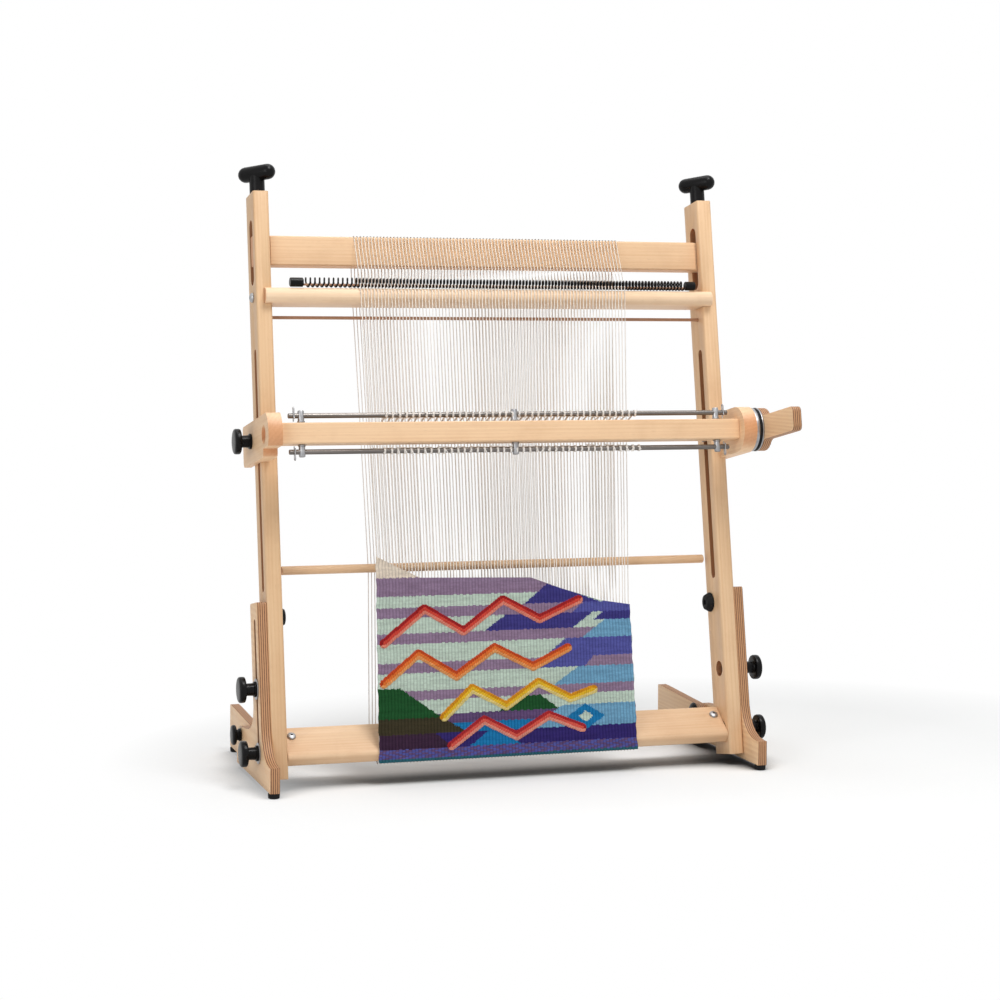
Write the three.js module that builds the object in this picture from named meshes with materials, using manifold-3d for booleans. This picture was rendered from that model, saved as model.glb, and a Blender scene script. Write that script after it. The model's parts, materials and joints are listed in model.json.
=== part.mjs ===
// Table-top tapestry loom: two leaning uprights on plywood feet, a top beam raised by screws, a warp coil
// on its bar, a shed bar on sliding brackets and a small tapestry in work.
// Millimetres, +Z up, the weaver sits at -Y. The origin is the middle of the base.
// On what leans, Y is counted back from the fronts of the uprights and Z up along them.
import * as THREE from 'three';
import { mergeVertices } from 'three/addons/utils/BufferGeometryUtils.js';
import Module from 'manifold-3d';

const wasm = await Module();
wasm.setup();

// Clearances
const GAP = 0.3;
const BOLT_PLAY = 0.6;
const SLOT_PLAY = 1.4;

// Uprights and their lean
const INNER_WIDTH = 584.2;
const UPRIGHT_T = 20;
const UPRIGHT_D = 48;
const UPRIGHT_L = 735;
const UPRIGHT_ROUND = 3;
const LEAN = THREE.MathUtils.degToRad(10);

// Top beam, its slots and its lifting screws
const TOP_BEAM_T = 20;
const TOP_BEAM_H = 38;
const TOP_BEAM_FROM_TOP = 93;
const TOP_BEAM_REST = UPRIGHT_L - TOP_BEAM_FROM_TOP;
const TOP_BEAM_ROUND = 2;
const BEAM_SLOT_BELOW_BEAM = 25;
const BEAM_SLOT_FROM_TOP = 34;
const BEAM_SLOT_LOW = TOP_BEAM_REST - BEAM_SLOT_BELOW_BEAM;
const BEAM_SLOT_HIGH = UPRIGHT_L - BEAM_SLOT_FROM_TOP;
const BEAM_TENON_T = 16;
const BEAM_SHOULDER_GAP = 2.75;
const BEAM_SLOT_PLAY = 3;
const BEAM_SLOT_Y = 21.5;
const LIFT_SCREW_DIA = 9.5;
const LIFT_SCREW_BELOW_BEAM = 4;
const T_NECK_DIA = 19.5;
const T_BAR_DIA = 20;
const T_BAR_LENGTH = 56;
const T_BAR_RISE = 27;
const T_SOCKET = 11;
const T_TURN_LEFT = THREE.MathUtils.degToRad(44);
const T_TURN_RIGHT = THREE.MathUtils.degToRad(39);

// Coil bar, coil and rods
const COIL_BAR_BELOW_BEAM = 32;
const COIL_BAR_TOP = TOP_BEAM_REST - COIL_BAR_BELOW_BEAM;
const COIL_BAR_H = 19;
const COIL_BAR_FRONT = -11.5;
const COIL_BAR_REAR = 30;
const COIL_BAR_NOSE = 8;
const COIL_BAR_SEAT = 10;
const BAR_SCREW_DIA = 5;
const BAR_SCREW_HEAD_DIA = 12.6;
const BAR_SCREW_HEAD_H = 4;
const BAR_SCREW_EDGE = 0.6;
const BAR_SCREW_SHOULDER = 2.4;
const BAR_SCREW_Y = 22.4;
const BAR_SCREW_DROP = 8.5;
const BAR_SCREW_GRIP = 32;
const COIL_OD = 13.2;
const COIL_WIRE = 1.4;
const COIL_TURNS = 64;
const COIL_STEPS = 8;
const COIL_GAP_SHARE = 0.54;
const COIL_Y = -5;
const COIL_FROM_LEFT_UPRIGHT = 22.1;
const COIL_FROM_RIGHT_UPRIGHT = 13.1;
const COIL_CAP_DIA = 11.8;
const COIL_CAP_LEFT_L = 17;
const COIL_CAP_RIGHT_L = 14;
const COIL_ROD_DIA = 2.8;
const COIL_ROD_DROP = 2.9;
const COIL_ROD_SEAT = 9;
const LEASE_ROD_DIA = 4.2;
const LEASE_ROD_BELOW_BAR = 15;
const LEASE_ROD_Z = COIL_BAR_TOP - COIL_BAR_H - LEASE_ROD_BELOW_BAR;
const LEASE_ROD_Y = 21;
const LEASE_ROD_SEAT = 6;

// Bottom beam, a board set at 45 degrees between the uprights
const BOTTOM_BEAM_W = 50.8;
const BOTTOM_BEAM_T = 18;
const BOTTOM_BEAM_TURN = Math.PI / 4;
const BOTTOM_BEAM_Y = -1.5;
const BOTTOM_BEAM_Z = 25.9;
const BOTTOM_BEAM_ROUND = 6;
const CLEAT_L = 15;
const CLEAT_W = 28;
const CLEAT_T = 11;
const CLEAT_FROM_REAR = 3;
const BEAM_BOLT_DIA = 5;
const BEAM_BOLT_HEAD_DIA = 11.5;
const BEAM_BOLT_HEAD_H = 3;
const BEAM_BOLT_CROWN_R = 4.1;
const BEAM_BOLT_SHOULDER = 2.2;
const BEAM_BOLT_TO_CLEAT_END = 2;
const BEAM_BOLT_IN = 10;
const BEAM_BOLT_FROM_REAR = 15;

// Feet, rear legs and pads
const PLY_T = 12;
const PAD_H = 6.6;
const PAD_DIA = 14.5;
const PAD_TAPER = 0.9;
const GROUND_DROP = 14.5;
const TOE_Y = -43.6;
const TOE_TOP = 22.9;
const TOE_FLAT = 8;
const INSTEP_Y = 2;
const INSTEP_Z = 24;
const HEEL_Y = 164;
const HEEL_TOP = 42;
const HEEL_ROUND = 20;
const HEEL_BEND_Y = 104;
const HEEL_BEND_Z = 45.5;
const ARM_ROOT_Y = 58;
const ARM_ROOT_Z = 49;
const ARM_REAR_ROOT_Z = 89;
const ARM_FRONT_ROOT_Z = 62;
const ARM_FRONT_Y = 1.1;
const ARM_REAR_Y = 43.5;
const ARM_TOP_Z = 217;
const ARM_ROUND = 4;
const ARM_SLOT_TOP = 197;
const PIVOT_Y = 138.5;
const PIVOT_Z = 32;
const REAR_LEG_Y = 275;
const REAR_LEG_TOP = 48;
const REAR_LEG_NECK = 43;
const REAR_LEG_FLAT = 13;
const REAR_LEG_FRONT_R = 25.5;

// Leg bolts and knobs
const BOLT_DIA = 8;
const LEG_BOLT_Y = 19;
const LEG_BOLT_UPPER_Z = 111;
const LEG_BOLT_LOWER_Z = 33;
const BOLT_HEAD_DIA = 15;
const BOLT_HEAD_H = 5;
const COUNTERBORE_DIA = 20;
const COUNTERBORE_DEPTH = 11;
const WASHER_DIA = 26;
const WASHER_T = 1.2;
const KNOB_HEAD_DIA = 32;
const KNOB_HEAD_T = 9;
const KNOB_NECK_DIA = 15.7;
const KNOB_FLANGE_DIA = 19.4;
const KNOB_FLANGE_T = 2.8;
const KNOB_LENGTH = 22.5;
const KNOB_EDGE = 2.6;
const KNOB_CROWN = 0.6;
const KNOB_BORE = 11;
const REAR_KNOB_HEAD_DIA = 25.5;
const REAR_KNOB_NECK_DIA = 14.2;
const REAR_KNOB_FLANGE_DIA = 16.2;
const REAR_KNOB_HEAD_T = 6;
const REAR_KNOB_LENGTH = 12.5;
const REAR_KNOB_BORE = 7;
const DOME_HEAD_DIA = 25;
const DOME_HEAD_H = 6.5;
const HEAD_CROWN_SHARE = 0.3;
const HEAD_EDGE_SHARE = 0.35;
const BUMPER_DIA = 25.5;
const BUMPER_TOP_DIA = 18;
const BUMPER_H = 8.5;
const BUMPER_FLANGE_T = 2.5;
const BUMPER_EDGE = 1.5;
const BUMPER_HOLE_DIA = 7;
const BUMPER_HOLE_DEPTH = 2.5;
const BUMPER_Z = 199;
const BUMPER_Y = 34;

// Shed carriage: brackets that slide in the long slots
const SHED_SLOT_LOW = 230;
const SHED_SLOT_BELOW_BAR = 56;
const SHED_SLOT_HIGH = COIL_BAR_TOP - COIL_BAR_H - SHED_SLOT_BELOW_BAR;
const SHED_SLOT_W = 12.5;
const SHED_SLOT_Y = 20;
const CARRIAGE_Z = 417.5;
const AXIS_Y = -57;
const BRACKET_T = 18;
const CHEEK_T = 8.6;
const BRACKET_REAR_Y = 72;
const BRACKET_ROUND = 6;
const BARREL_R = 29.6;
const LEFT_BRACKET_UP = 25;
const LEFT_BRACKET_DOWN = 27;
const NOSE_DOWN = 16.5;
const NOTCH_Y = -52;
const SHED_KNOB_UP = 1;

// Shed bar, rods, rings and handle
const SHED_BAR_H = 26;
const SHED_BAR_D = 26;
const SHED_BAR_ROUND = 2;
const TENON_DIA = 22;
const TENON_RECESS = 8;
const ROD_DIA = 6.35;
const ROD_END_GAP = 1.6;
const ROD_OFFSET = 22.3;
const ROD_FORWARD = 3;
const EYE_FROM_END = 16;
const EYE_WIRE_R = 1.9;
const EYE_R = 5.3;
const EYE_BROAD = 1.7;
const EYE_BITE = 0.4;
const EYE_SHANK_DIA = 3;
const EYE_SHANK_DEPTH = 9;
const CLIP_FROM_END = 6.5;
const CLIP_WIRE = 1.6;
const CLIP_UP = 8;
const CLIP_DOWN = 7;
const CLIP_W = 4.6;
const INNER_RING_T = 4.2;
const INNER_RING_R = 28.4;
const RUBBER_RING_T = 3.4;
const RUBBER_RING_R = 28.8;
const OUTER_RING_T = 1.9;
const OUTER_RING_R = 27.8;
const RINGS = [
  { name: 'friction_ring_inner', thickness: INNER_RING_T, radius: INNER_RING_R, look: 'steel' },
  { name: 'friction_ring_rubber', thickness: RUBBER_RING_T, radius: RUBBER_RING_R, look: 'rubber' },
  { name: 'friction_ring_outer', thickness: OUTER_RING_T, radius: OUTER_RING_R, look: 'steel' },
];
const HANDLE_R = 28;
const HANDLE_REACH = 115;
const HANDLE_W = 31;
const HANDLE_ROUND = 7;
const HANDLE_FILLET = 12;
const HANDLE_FILLET_BEND = 4;

// Warp, heddles, warp bar and tapestry
const THREAD_R = 0.45;
const WARP_LEFT = -183;
const WARP_RIGHT = 177;
const WARP_BAR_DIA = 11;
const WARP_BAR_END_GAP = 7.1;
const WARP_BAR_Y = 37;
const WARP_BAR_Z = 257;
const HEDDLE_T = 0.8;
const HEDDLE_REACH_Z = 11;
const HEDDLE_MARGIN = 6;
const HEDDLE_SHARE = 0.52;
const TAPESTRY_T = 1.5;
const TAPESTRY_FRONT = -2.2;
const TAPESTRY_FOOT = 13;
const TAPESTRY_LEFT_TOP = -172;
const TAPESTRY_LEFT_FOOT = -178;
const TAPESTRY_RIGHT = 164;
// The upper edge of the woven cloth, from left to right: across from the middle, up the uprights.
const WOVEN_EDGE = [[-172, 269], [-116, 241], [31, 237], [71, 222], [124, 205], [164, 198.5]];

// Facets
const ROUND_SIDES = 16;
const TURNED_SIDES = 12;
const SMALL_SIDES = 8;
const WIRE_SIDES = 5;
const RING_SIDES = 18;
const ARC_STEPS = 5;
const EDGE_STEPS = 2;
const FINE_ARC_STEPS = 9;
const BEND_STEPS = 3;

const inner = INNER_WIDTH / 2;
const coilLeft = COIL_FROM_LEFT_UPRIGHT - inner;
const coilRight = inner - COIL_FROM_RIGHT_UPRIGHT;
const rodHalf = inner - ROD_END_GAP;
const eyeX = rodHalf - EYE_FROM_END;
const clipX = rodHalf - CLIP_FROM_END;
const warpBarHalf = inner - WARP_BAR_END_GAP;
const outer = inner + UPRIGHT_T;
const legOuter = outer;
const legInner = legOuter - PLY_T;
const footInner = outer + GAP;
const footOuter = footInner + PLY_T;
const boardFoot = -GROUND_DROP + PAD_H;
const bracketOuter = outer + GAP + CHEEK_T;
const bracketInner = bracketOuter - BRACKET_T;
const liftX = inner + UPRIGHT_T / 2;

const maple = new THREE.MeshStandardMaterial({ color: 0xe8c79c, roughness: 0.55 });
const ply = new THREE.MeshStandardMaterial({ color: 0xd3a878, roughness: 0.6 });
const looks = {
  steel: new THREE.MeshStandardMaterial({ color: 0xb9bcc0, roughness: 0.3, metalness: 1 }),
  rubber: new THREE.MeshStandardMaterial({ color: 0x1b1b1c, roughness: 0.8 }),
};
const plastic = new THREE.MeshStandardMaterial({ color: 0x242325, roughness: 0.45 });
const darkSteel = new THREE.MeshStandardMaterial({ color: 0x77706c, roughness: 0.35, metalness: 1 });
const springSteel = new THREE.MeshStandardMaterial({ color: 0x2a2a2c, roughness: 0.4, metalness: 1 });
const brownRod = new THREE.MeshStandardMaterial({ color: 0xa9776a, roughness: 0.6 });
const cotton = new THREE.MeshStandardMaterial({ color: 0xeee8e0, roughness: 0.9 });
const wool = new THREE.MeshStandardMaterial({ color: 0x7a83b4, roughness: 0.95 });

// Solids and booleans
function weld(geometry) {
  const bare = geometry.clone();
  bare.deleteAttribute('normal');
  bare.deleteAttribute('uv');
  const merged = mergeVertices(bare, 1e-4);
  const corners = merged.index.array;
  const kept = [];
  for (let i = 0; i < corners.length; i += 3) {
    const [a, b, c] = [corners[i], corners[i + 1], corners[i + 2]];
    if (a !== b && b !== c && c !== a) kept.push(a, b, c);
  }
  merged.setIndex(kept);
  return merged;
}

function toSolid(geometry) {
  const welded = weld(geometry);
  return new wasm.Manifold(new wasm.Mesh({
    numProp: 3,
    vertProperties: new Float32Array(welded.attributes.position.array),
    triVerts: new Uint32Array(welded.index.array),
  }));
}

function toGeometry(solid) {
  const mesh = solid.getMesh();
  const geometry = new THREE.BufferGeometry();
  geometry.setAttribute('position', new THREE.BufferAttribute(mesh.vertProperties, 3));
  geometry.setIndex(new THREE.BufferAttribute(mesh.triVerts, 1));
  return geometry;
}

function cut(body, tools) {
  let solid = toSolid(body);
  for (const tool of tools) solid = solid.subtract(toSolid(tool));
  return toGeometry(solid);
}

function join(pieces) {
  let solid = toSolid(pieces[0]);
  for (const piece of pieces.slice(1)) solid = solid.add(toSolid(piece));
  return toGeometry(solid);
}

// Turns a shape drawn as depth and height into the plane across X, with its thickness along X.
const ACROSS_X = new THREE.Matrix4().makeBasis(
  new THREE.Vector3(0, 1, 0),
  new THREE.Vector3(0, 0, 1),
  new THREE.Vector3(1, 0, 0),
);

// A board of the given outline between two distances from the middle, on one side of the loom.
function board(shape, from, to, side) {
  const options = { depth: to - from, bevelEnabled: false, curveSegments: ARC_STEPS };
  const geometry = new THREE.ExtrudeGeometry(shape, options);
  geometry.applyMatrix4(ACROSS_X);
  return geometry.translate(side > 0 ? from : -to, 0, 0);
}

function box(x, y, z, centre) {
  return new THREE.BoxGeometry(x, y, z).translate(...centre);
}

function rodAlongX(diameter, from, to, y, z, sides = ROUND_SIDES) {
  const rod = new THREE.CylinderGeometry(diameter / 2, diameter / 2, to - from, sides);
  return rod.rotateZ(Math.PI / 2).translate((from + to) / 2, y, z);
}

function rodAlongZ(diameter, from, to, x, y, sides = ROUND_SIDES) {
  const rod = new THREE.CylinderGeometry(diameter / 2, diameter / 2, to - from, sides);
  return rod.rotateX(Math.PI / 2).translate(x, y, (from + to) / 2);
}

// Tools for holes: the flats of their facets lie at the hole's diameter.
function drillAcross(diameter, from, to, side, y, z, sides = ROUND_SIDES) {
  const corners = diameter / Math.cos(Math.PI / sides);
  return side > 0 ? rodAlongX(corners, from, to, y, z, sides) : rodAlongX(corners, -to, -from, y, z, sides);
}

function drillUp(diameter, from, to, x, y, sides = SMALL_SIDES) {
  return rodAlongZ(diameter / Math.cos(Math.PI / sides), from, to, x, y, sides);
}

// A turned piece that stands out from a face: its profile gives radius and height, and it points away
// from the middle of the loom (outward 1) or towards it (outward -1).
function turned(profile, side, outward, x, y, z, sides = TURNED_SIDES) {
  const points = profile.map(([radius, height]) => new THREE.Vector2(radius, height));
  const geometry = new THREE.LatheGeometry(points, sides);
  geometry.rotateZ(-side * outward * Math.PI / 2);
  return geometry.translate(side * x, y, z);
}

function roundedRectangle(x0, y0, x1, y1, radius) {
  const shape = new THREE.Shape();
  shape.moveTo(x0 + radius, y0);
  shape.lineTo(x1 - radius, y0);
  shape.absarc(x1 - radius, y0 + radius, radius, -Math.PI / 2, 0);
  shape.lineTo(x1, y1 - radius);
  shape.absarc(x1 - radius, y1 - radius, radius, 0, Math.PI / 2);
  shape.lineTo(x0 + radius, y1);
  shape.absarc(x0 + radius, y1 - radius, radius, Math.PI / 2, Math.PI);
  shape.lineTo(x0, y0 + radius);
  shape.absarc(x0 + radius, y0 + radius, radius, Math.PI, 1.5 * Math.PI);
  return shape;
}

// A slot with round ends that runs up an upright.
function slotShape(n, low, high, width) {
  const radius = width / 2;
  const shape = new THREE.Shape();
  shape.moveTo(n + radius, low + radius);
  shape.lineTo(n + radius, high - radius);
  shape.absarc(n, high - radius, radius, 0, Math.PI);
  shape.lineTo(n - radius, low + radius);
  shape.absarc(n, low + radius, radius, Math.PI, 2 * Math.PI);
  return shape;
}

// Where a point of the leaning frame, given as depth and height, lies in the upright stand.
function standPoint(n, s) {
  return [n * Math.cos(LEAN) + s * Math.sin(LEAN), s * Math.cos(LEAN) - n * Math.sin(LEAN)];
}

const SIDES = [{ name: 'left', side: -1 }, { name: 'right', side: 1 }];
const stand = new THREE.Group();
const frame = new THREE.Group();
frame.rotation.x = -LEAN;
stand.add(frame);

function place(group, name, geometry, material) {
  const smooth = geometry.index ? geometry : weld(geometry);
  smooth.computeVertexNormals();
  const mesh = new THREE.Mesh(smooth, material);
  mesh.name = name;
  group.add(mesh);
}

// Uprights: two slots, the seat of the coil bar and the holes for bolts, screws and rods
function upright(side) {
  const section = roundedRectangle(inner, 0, outer, UPRIGHT_D, UPRIGHT_ROUND);
  const options = { depth: UPRIGHT_L, bevelEnabled: false, curveSegments: EDGE_STEPS };
  const body = new THREE.ExtrudeGeometry(section, options);
  if (side < 0) body.translate(-inner - outer, 0, 0);
  const through = [inner - 1, outer + 1];
  const beamSlot = slotShape(BEAM_SLOT_Y, BEAM_SLOT_LOW, BEAM_SLOT_HIGH, BEAM_TENON_T + BEAM_SLOT_PLAY);
  const shedSlot = slotShape(SHED_SLOT_Y, SHED_SLOT_LOW, SHED_SLOT_HIGH, SHED_SLOT_W);
  const seat = roundedRectangle(
    COIL_BAR_FRONT - 1,
    COIL_BAR_TOP - COIL_BAR_H - GAP,
    COIL_BAR_REAR + GAP,
    COIL_BAR_TOP + GAP,
    1,
  );
  const screwS = COIL_BAR_TOP - BAR_SCREW_DROP;
  const holes = [
    board(beamSlot, ...through, side),
    board(shedSlot, ...through, side),
    board(seat, inner - 1, inner + COIL_BAR_SEAT + GAP, side),
    drillUp(LIFT_SCREW_DIA + BOLT_PLAY, BEAM_SLOT_HIGH - TOP_BEAM_T, UPRIGHT_L + 1, side * liftX, BEAM_SLOT_Y),
    drillAcross(BAR_SCREW_DIA + BOLT_PLAY, inner, outer + 1, side, BAR_SCREW_Y, screwS, SMALL_SIDES),
    drillAcross(LEASE_ROD_DIA + BOLT_PLAY, inner - 1, inner + LEASE_ROD_SEAT, side, LEASE_ROD_Y, LEASE_ROD_Z, SMALL_SIDES),
  ];
  for (const s of [LEG_BOLT_UPPER_Z, LEG_BOLT_LOWER_Z]) {
    holes.push(drillAcross(BOLT_DIA + BOLT_PLAY, ...through, side, LEG_BOLT_Y, s, SMALL_SIDES));
    holes.push(drillAcross(COUNTERBORE_DIA, inner - 1, inner + COUNTERBORE_DEPTH, side, LEG_BOLT_Y, s));
  }
  return cut(body, holes);
}

function topBeam() {
  const top = TOP_BEAM_REST + TOP_BEAM_H;
  const section = (thickness) => roundedRectangle(
    BEAM_SLOT_Y - thickness / 2,
    TOP_BEAM_REST,
    BEAM_SLOT_Y + thickness / 2,
    top,
    TOP_BEAM_ROUND,
  );
  const shoulder = inner - BEAM_SHOULDER_GAP;
  const body = join([
    board(section(TOP_BEAM_T), -shoulder, shoulder, 1),
    board(section(BEAM_TENON_T), -outer + 1, outer - 1, 1),
  ]);
  const holes = SIDES.map(({ side }) => (
    drillUp(LIFT_SCREW_DIA + BOLT_PLAY, TOP_BEAM_REST - 1, top + 1, side * liftX, BEAM_SLOT_Y)
  ));
  return cut(body, holes);
}

function tHandle(turn) {
  const straight = T_BAR_LENGTH - T_BAR_DIA;
  const bar = new THREE.CapsuleGeometry(T_BAR_DIA / 2, straight, 3, TURNED_SIDES);
  bar.rotateZ(Math.PI / 2).translate(0, 0, T_BAR_RISE);
  const neck = rodAlongZ(T_NECK_DIA, 0, T_BAR_RISE, 0, 0, TURNED_SIDES);
  const socket = drillUp(LIFT_SCREW_DIA + BOLT_PLAY, -1, T_SOCKET, 0, 0);
  return cut(join([bar, neck]), [socket]).rotateZ(-turn);
}

function coilBar() {
  const low = COIL_BAR_TOP - COIL_BAR_H;
  const shape = new THREE.Shape();
  shape.moveTo(COIL_BAR_REAR, low);
  shape.lineTo(COIL_BAR_REAR, COIL_BAR_TOP);
  const noseY = COIL_BAR_FRONT + COIL_BAR_NOSE;
  const half = COIL_BAR_H / 2;
  shape.lineTo(noseY, COIL_BAR_TOP);
  shape.absellipse(noseY, low + half, COIL_BAR_NOSE, half, Math.PI / 2, 1.5 * Math.PI);
  const body = board(shape, -inner - COIL_BAR_SEAT, inner + COIL_BAR_SEAT, 1);
  const screwS = COIL_BAR_TOP - BAR_SCREW_DROP;
  const reach = outer - BAR_SCREW_GRIP - GAP;
  const holes = SIDES.map(({ side }) => (
    drillAcross(BAR_SCREW_DIA + BOLT_PLAY, reach, outer, side, BAR_SCREW_Y, screwS, SMALL_SIDES)
  ));
  return cut(body, holes);
}

// A screw with a pan head, from its head's underside inwards.
function barScrew(side) {
  const profile = [
    [0, -BAR_SCREW_GRIP],
    [BAR_SCREW_DIA / 2, -BAR_SCREW_GRIP],
    [BAR_SCREW_DIA / 2, GAP],
    [BAR_SCREW_HEAD_DIA / 2, GAP],
    [BAR_SCREW_HEAD_DIA / 2 - BAR_SCREW_EDGE, GAP + BAR_SCREW_SHOULDER],
    [BAR_SCREW_HEAD_DIA / 4, GAP + BAR_SCREW_HEAD_H],
    [0, GAP + BAR_SCREW_HEAD_H],
  ];
  return turned(profile, side, 1, outer, BAR_SCREW_Y, COIL_BAR_TOP - BAR_SCREW_DROP, SMALL_SIDES);
}

// The coil: one unbroken wire of round section with a straight run at each end
const coilS = COIL_BAR_TOP + GAP + COIL_OD / 2;
const coilRodS = coilS - COIL_ROD_DROP;
const coilStart = coilLeft + COIL_CAP_LEFT_L + GAP;
const coilEnd = coilRight - COIL_CAP_RIGHT_L - GAP;
const coilPitch = (coilEnd - coilStart - 2 * COIL_WIRE) / COIL_TURNS;

function coilPath() {
  const steps = COIL_STEPS;
  const radius = (COIL_OD - COIL_WIRE) / 2;
  const points = [];
  const add = (x, turn) => {
    const outwards = new THREE.Vector3(0, -Math.cos(turn), Math.sin(turn));
    const centre = outwards.clone().multiplyScalar(radius).add(new THREE.Vector3(x, COIL_Y, coilS));
    points.push({ centre, outwards, turn });
  };
  add(coilStart, 0);
  for (let i = 0; i <= COIL_TURNS * steps; i += 1) {
    add(coilStart + COIL_WIRE + coilPitch * i / steps, 2 * Math.PI * i / steps);
  }
  add(coilEnd, 2 * Math.PI * COIL_TURNS);
  return points;
}

function coil() {
  const sides = WIRE_SIDES;
  const path = coilPath();
  const positions = [];
  path.forEach(({ centre, outwards }, i) => {
    const before = path[Math.max(i - 1, 0)].centre;
    const after = path[Math.min(i + 1, path.length - 1)].centre;
    const ahead = i === 0 || i === path.length - 1 ? new THREE.Vector3(1, 0, 0) : after.clone().sub(before);
    const across = new THREE.Vector3().crossVectors(ahead.normalize(), outwards).normalize();
    const up = new THREE.Vector3().crossVectors(across, ahead);
    for (let k = 0; k < sides; k += 1) {
      const angle = 2 * Math.PI * k / sides;
      const point = centre.clone();
      point.addScaledVector(up, Math.cos(angle) * COIL_WIRE / 2);
      point.addScaledVector(across, Math.sin(angle) * COIL_WIRE / 2);
      positions.push(point.x, point.y, point.z);
    }
  });
  return outwardFacing(tubeOf(positions, sides));
}

// A closed tube from rings of points, the same number in each ring
function tubeOf(positions, sides) {
  const faces = [];
  const last = positions.length / 3 - sides;
  for (let i = 0; i < last; i += sides) {
    for (let k = 0; k < sides; k += 1) {
      const a = i + k;
      const b = i + (k + 1) % sides;
      faces.push(a, b, a + sides, b, b + sides, a + sides);
    }
  }
  for (let k = 1; k + 1 < sides; k += 1) faces.push(0, k + 1, k, last, last + k, last + k + 1);
  const geometry = new THREE.BufferGeometry();
  geometry.setAttribute('position', new THREE.Float32BufferAttribute(positions, 3));
  geometry.setIndex(faces);
  return geometry;
}

// Turns every face over if the closed surface is inside out.
function outwardFacing(geometry) {
  const p = geometry.attributes.position;
  const index = geometry.index.array;
  const [a, b, c] = [new THREE.Vector3(), new THREE.Vector3(), new THREE.Vector3()];
  let volume = 0;
  for (let i = 0; i < index.length; i += 3) {
    a.fromBufferAttribute(p, index[i]);
    b.fromBufferAttribute(p, index[i + 1]);
    c.fromBufferAttribute(p, index[i + 2]);
    volume += a.dot(b.cross(c));
  }
  if (volume < 0) {
    for (let i = 0; i < index.length; i += 3) [index[i], index[i + 1]] = [index[i + 1], index[i]];
  }
  return geometry;
}

// The least gap that a wound tube keeps to itself, from points a part of a turn apart and more.
function leastGap(points, diameter, apart) {
  let least = Infinity;
  for (let i = 0; i < points.length; i += 1) {
    for (let j = i + apart; j < points.length; j += 1) {
      least = Math.min(least, points[i].distanceTo(points[j]));
    }
  }
  return least - diameter;
}

function coilCap(left, length) {
  const cap = rodAlongX(COIL_CAP_DIA, left, left + length, COIL_Y, coilS);
  const bore = drillAcross(COIL_ROD_DIA + BOLT_PLAY, left - 1, left + length + 1, 1, COIL_Y, coilRodS, SMALL_SIDES);
  return cut(cap, [bore]);
}

// Bottom beam, drawn from its upper front corner and turned by 45 degrees
const beamTurn = new THREE.Matrix4().makeRotationX(BOTTOM_BEAM_TURN);
beamTurn.setPosition(0, BOTTOM_BEAM_Y, BOTTOM_BEAM_Z);

function bottomBeam() {
  const shape = new THREE.Shape();
  const round = BOTTOM_BEAM_ROUND;
  shape.moveTo(round, -BOTTOM_BEAM_T);
  shape.lineTo(BOTTOM_BEAM_W, -BOTTOM_BEAM_T);
  shape.lineTo(BOTTOM_BEAM_W, 0);
  shape.lineTo(round, 0);
  shape.absarc(round, -round, round, Math.PI / 2, Math.PI);
  shape.lineTo(0, -BOTTOM_BEAM_T + round);
  shape.absarc(round, -BOTTOM_BEAM_T + round, round, Math.PI, 1.5 * Math.PI);
  const body = board(shape, -inner + GAP, inner - GAP, 1);
  const holes = SIDES.map(({ side }) => {
    const [x, u] = beamBoltPlace(side);
    return drillUp(BEAM_BOLT_DIA + BOLT_PLAY, -BOTTOM_BEAM_T - 1, 1, x, u);
  });
  return cut(body, holes).applyMatrix4(beamTurn);
}

function beamBoltPlace(side) {
  return [side * (inner - BEAM_BOLT_IN), BOTTOM_BEAM_W - BEAM_BOLT_FROM_REAR];
}

function cleat(side) {
  const x = side * (inner - GAP - CLEAT_L / 2);
  const u = BOTTOM_BEAM_W - CLEAT_FROM_REAR - CLEAT_W / 2;
  const block = box(CLEAT_L, CLEAT_W, CLEAT_T, [x, u, -BOTTOM_BEAM_T - GAP - CLEAT_T / 2]);
  const [boltX, boltU] = beamBoltPlace(side);
  const top = -BOTTOM_BEAM_T;
  const low = top - CLEAT_T + BEAM_BOLT_TO_CLEAT_END;
  const hole = drillUp(BEAM_BOLT_DIA + BOLT_PLAY, low, top + 1, boltX, boltU);
  return cut(block, [hole]);
}

function beamBolt(side) {
  const end = -BOTTOM_BEAM_T - CLEAT_T + BEAM_BOLT_TO_CLEAT_END + GAP;
  const profile = [
    [0, end],
    [BEAM_BOLT_DIA / 2, end],
    [BEAM_BOLT_DIA / 2, GAP],
    [BEAM_BOLT_HEAD_DIA / 2, GAP],
    [BEAM_BOLT_CROWN_R, GAP + BEAM_BOLT_SHOULDER],
    [0, GAP + BEAM_BOLT_HEAD_H],
  ];
  const points = profile.map(([radius, height]) => new THREE.Vector2(radius, height));
  const [x, u] = beamBoltPlace(side);
  return new THREE.LatheGeometry(points, SMALL_SIDES).rotateX(Math.PI / 2).translate(x, u, 0);
}

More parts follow.
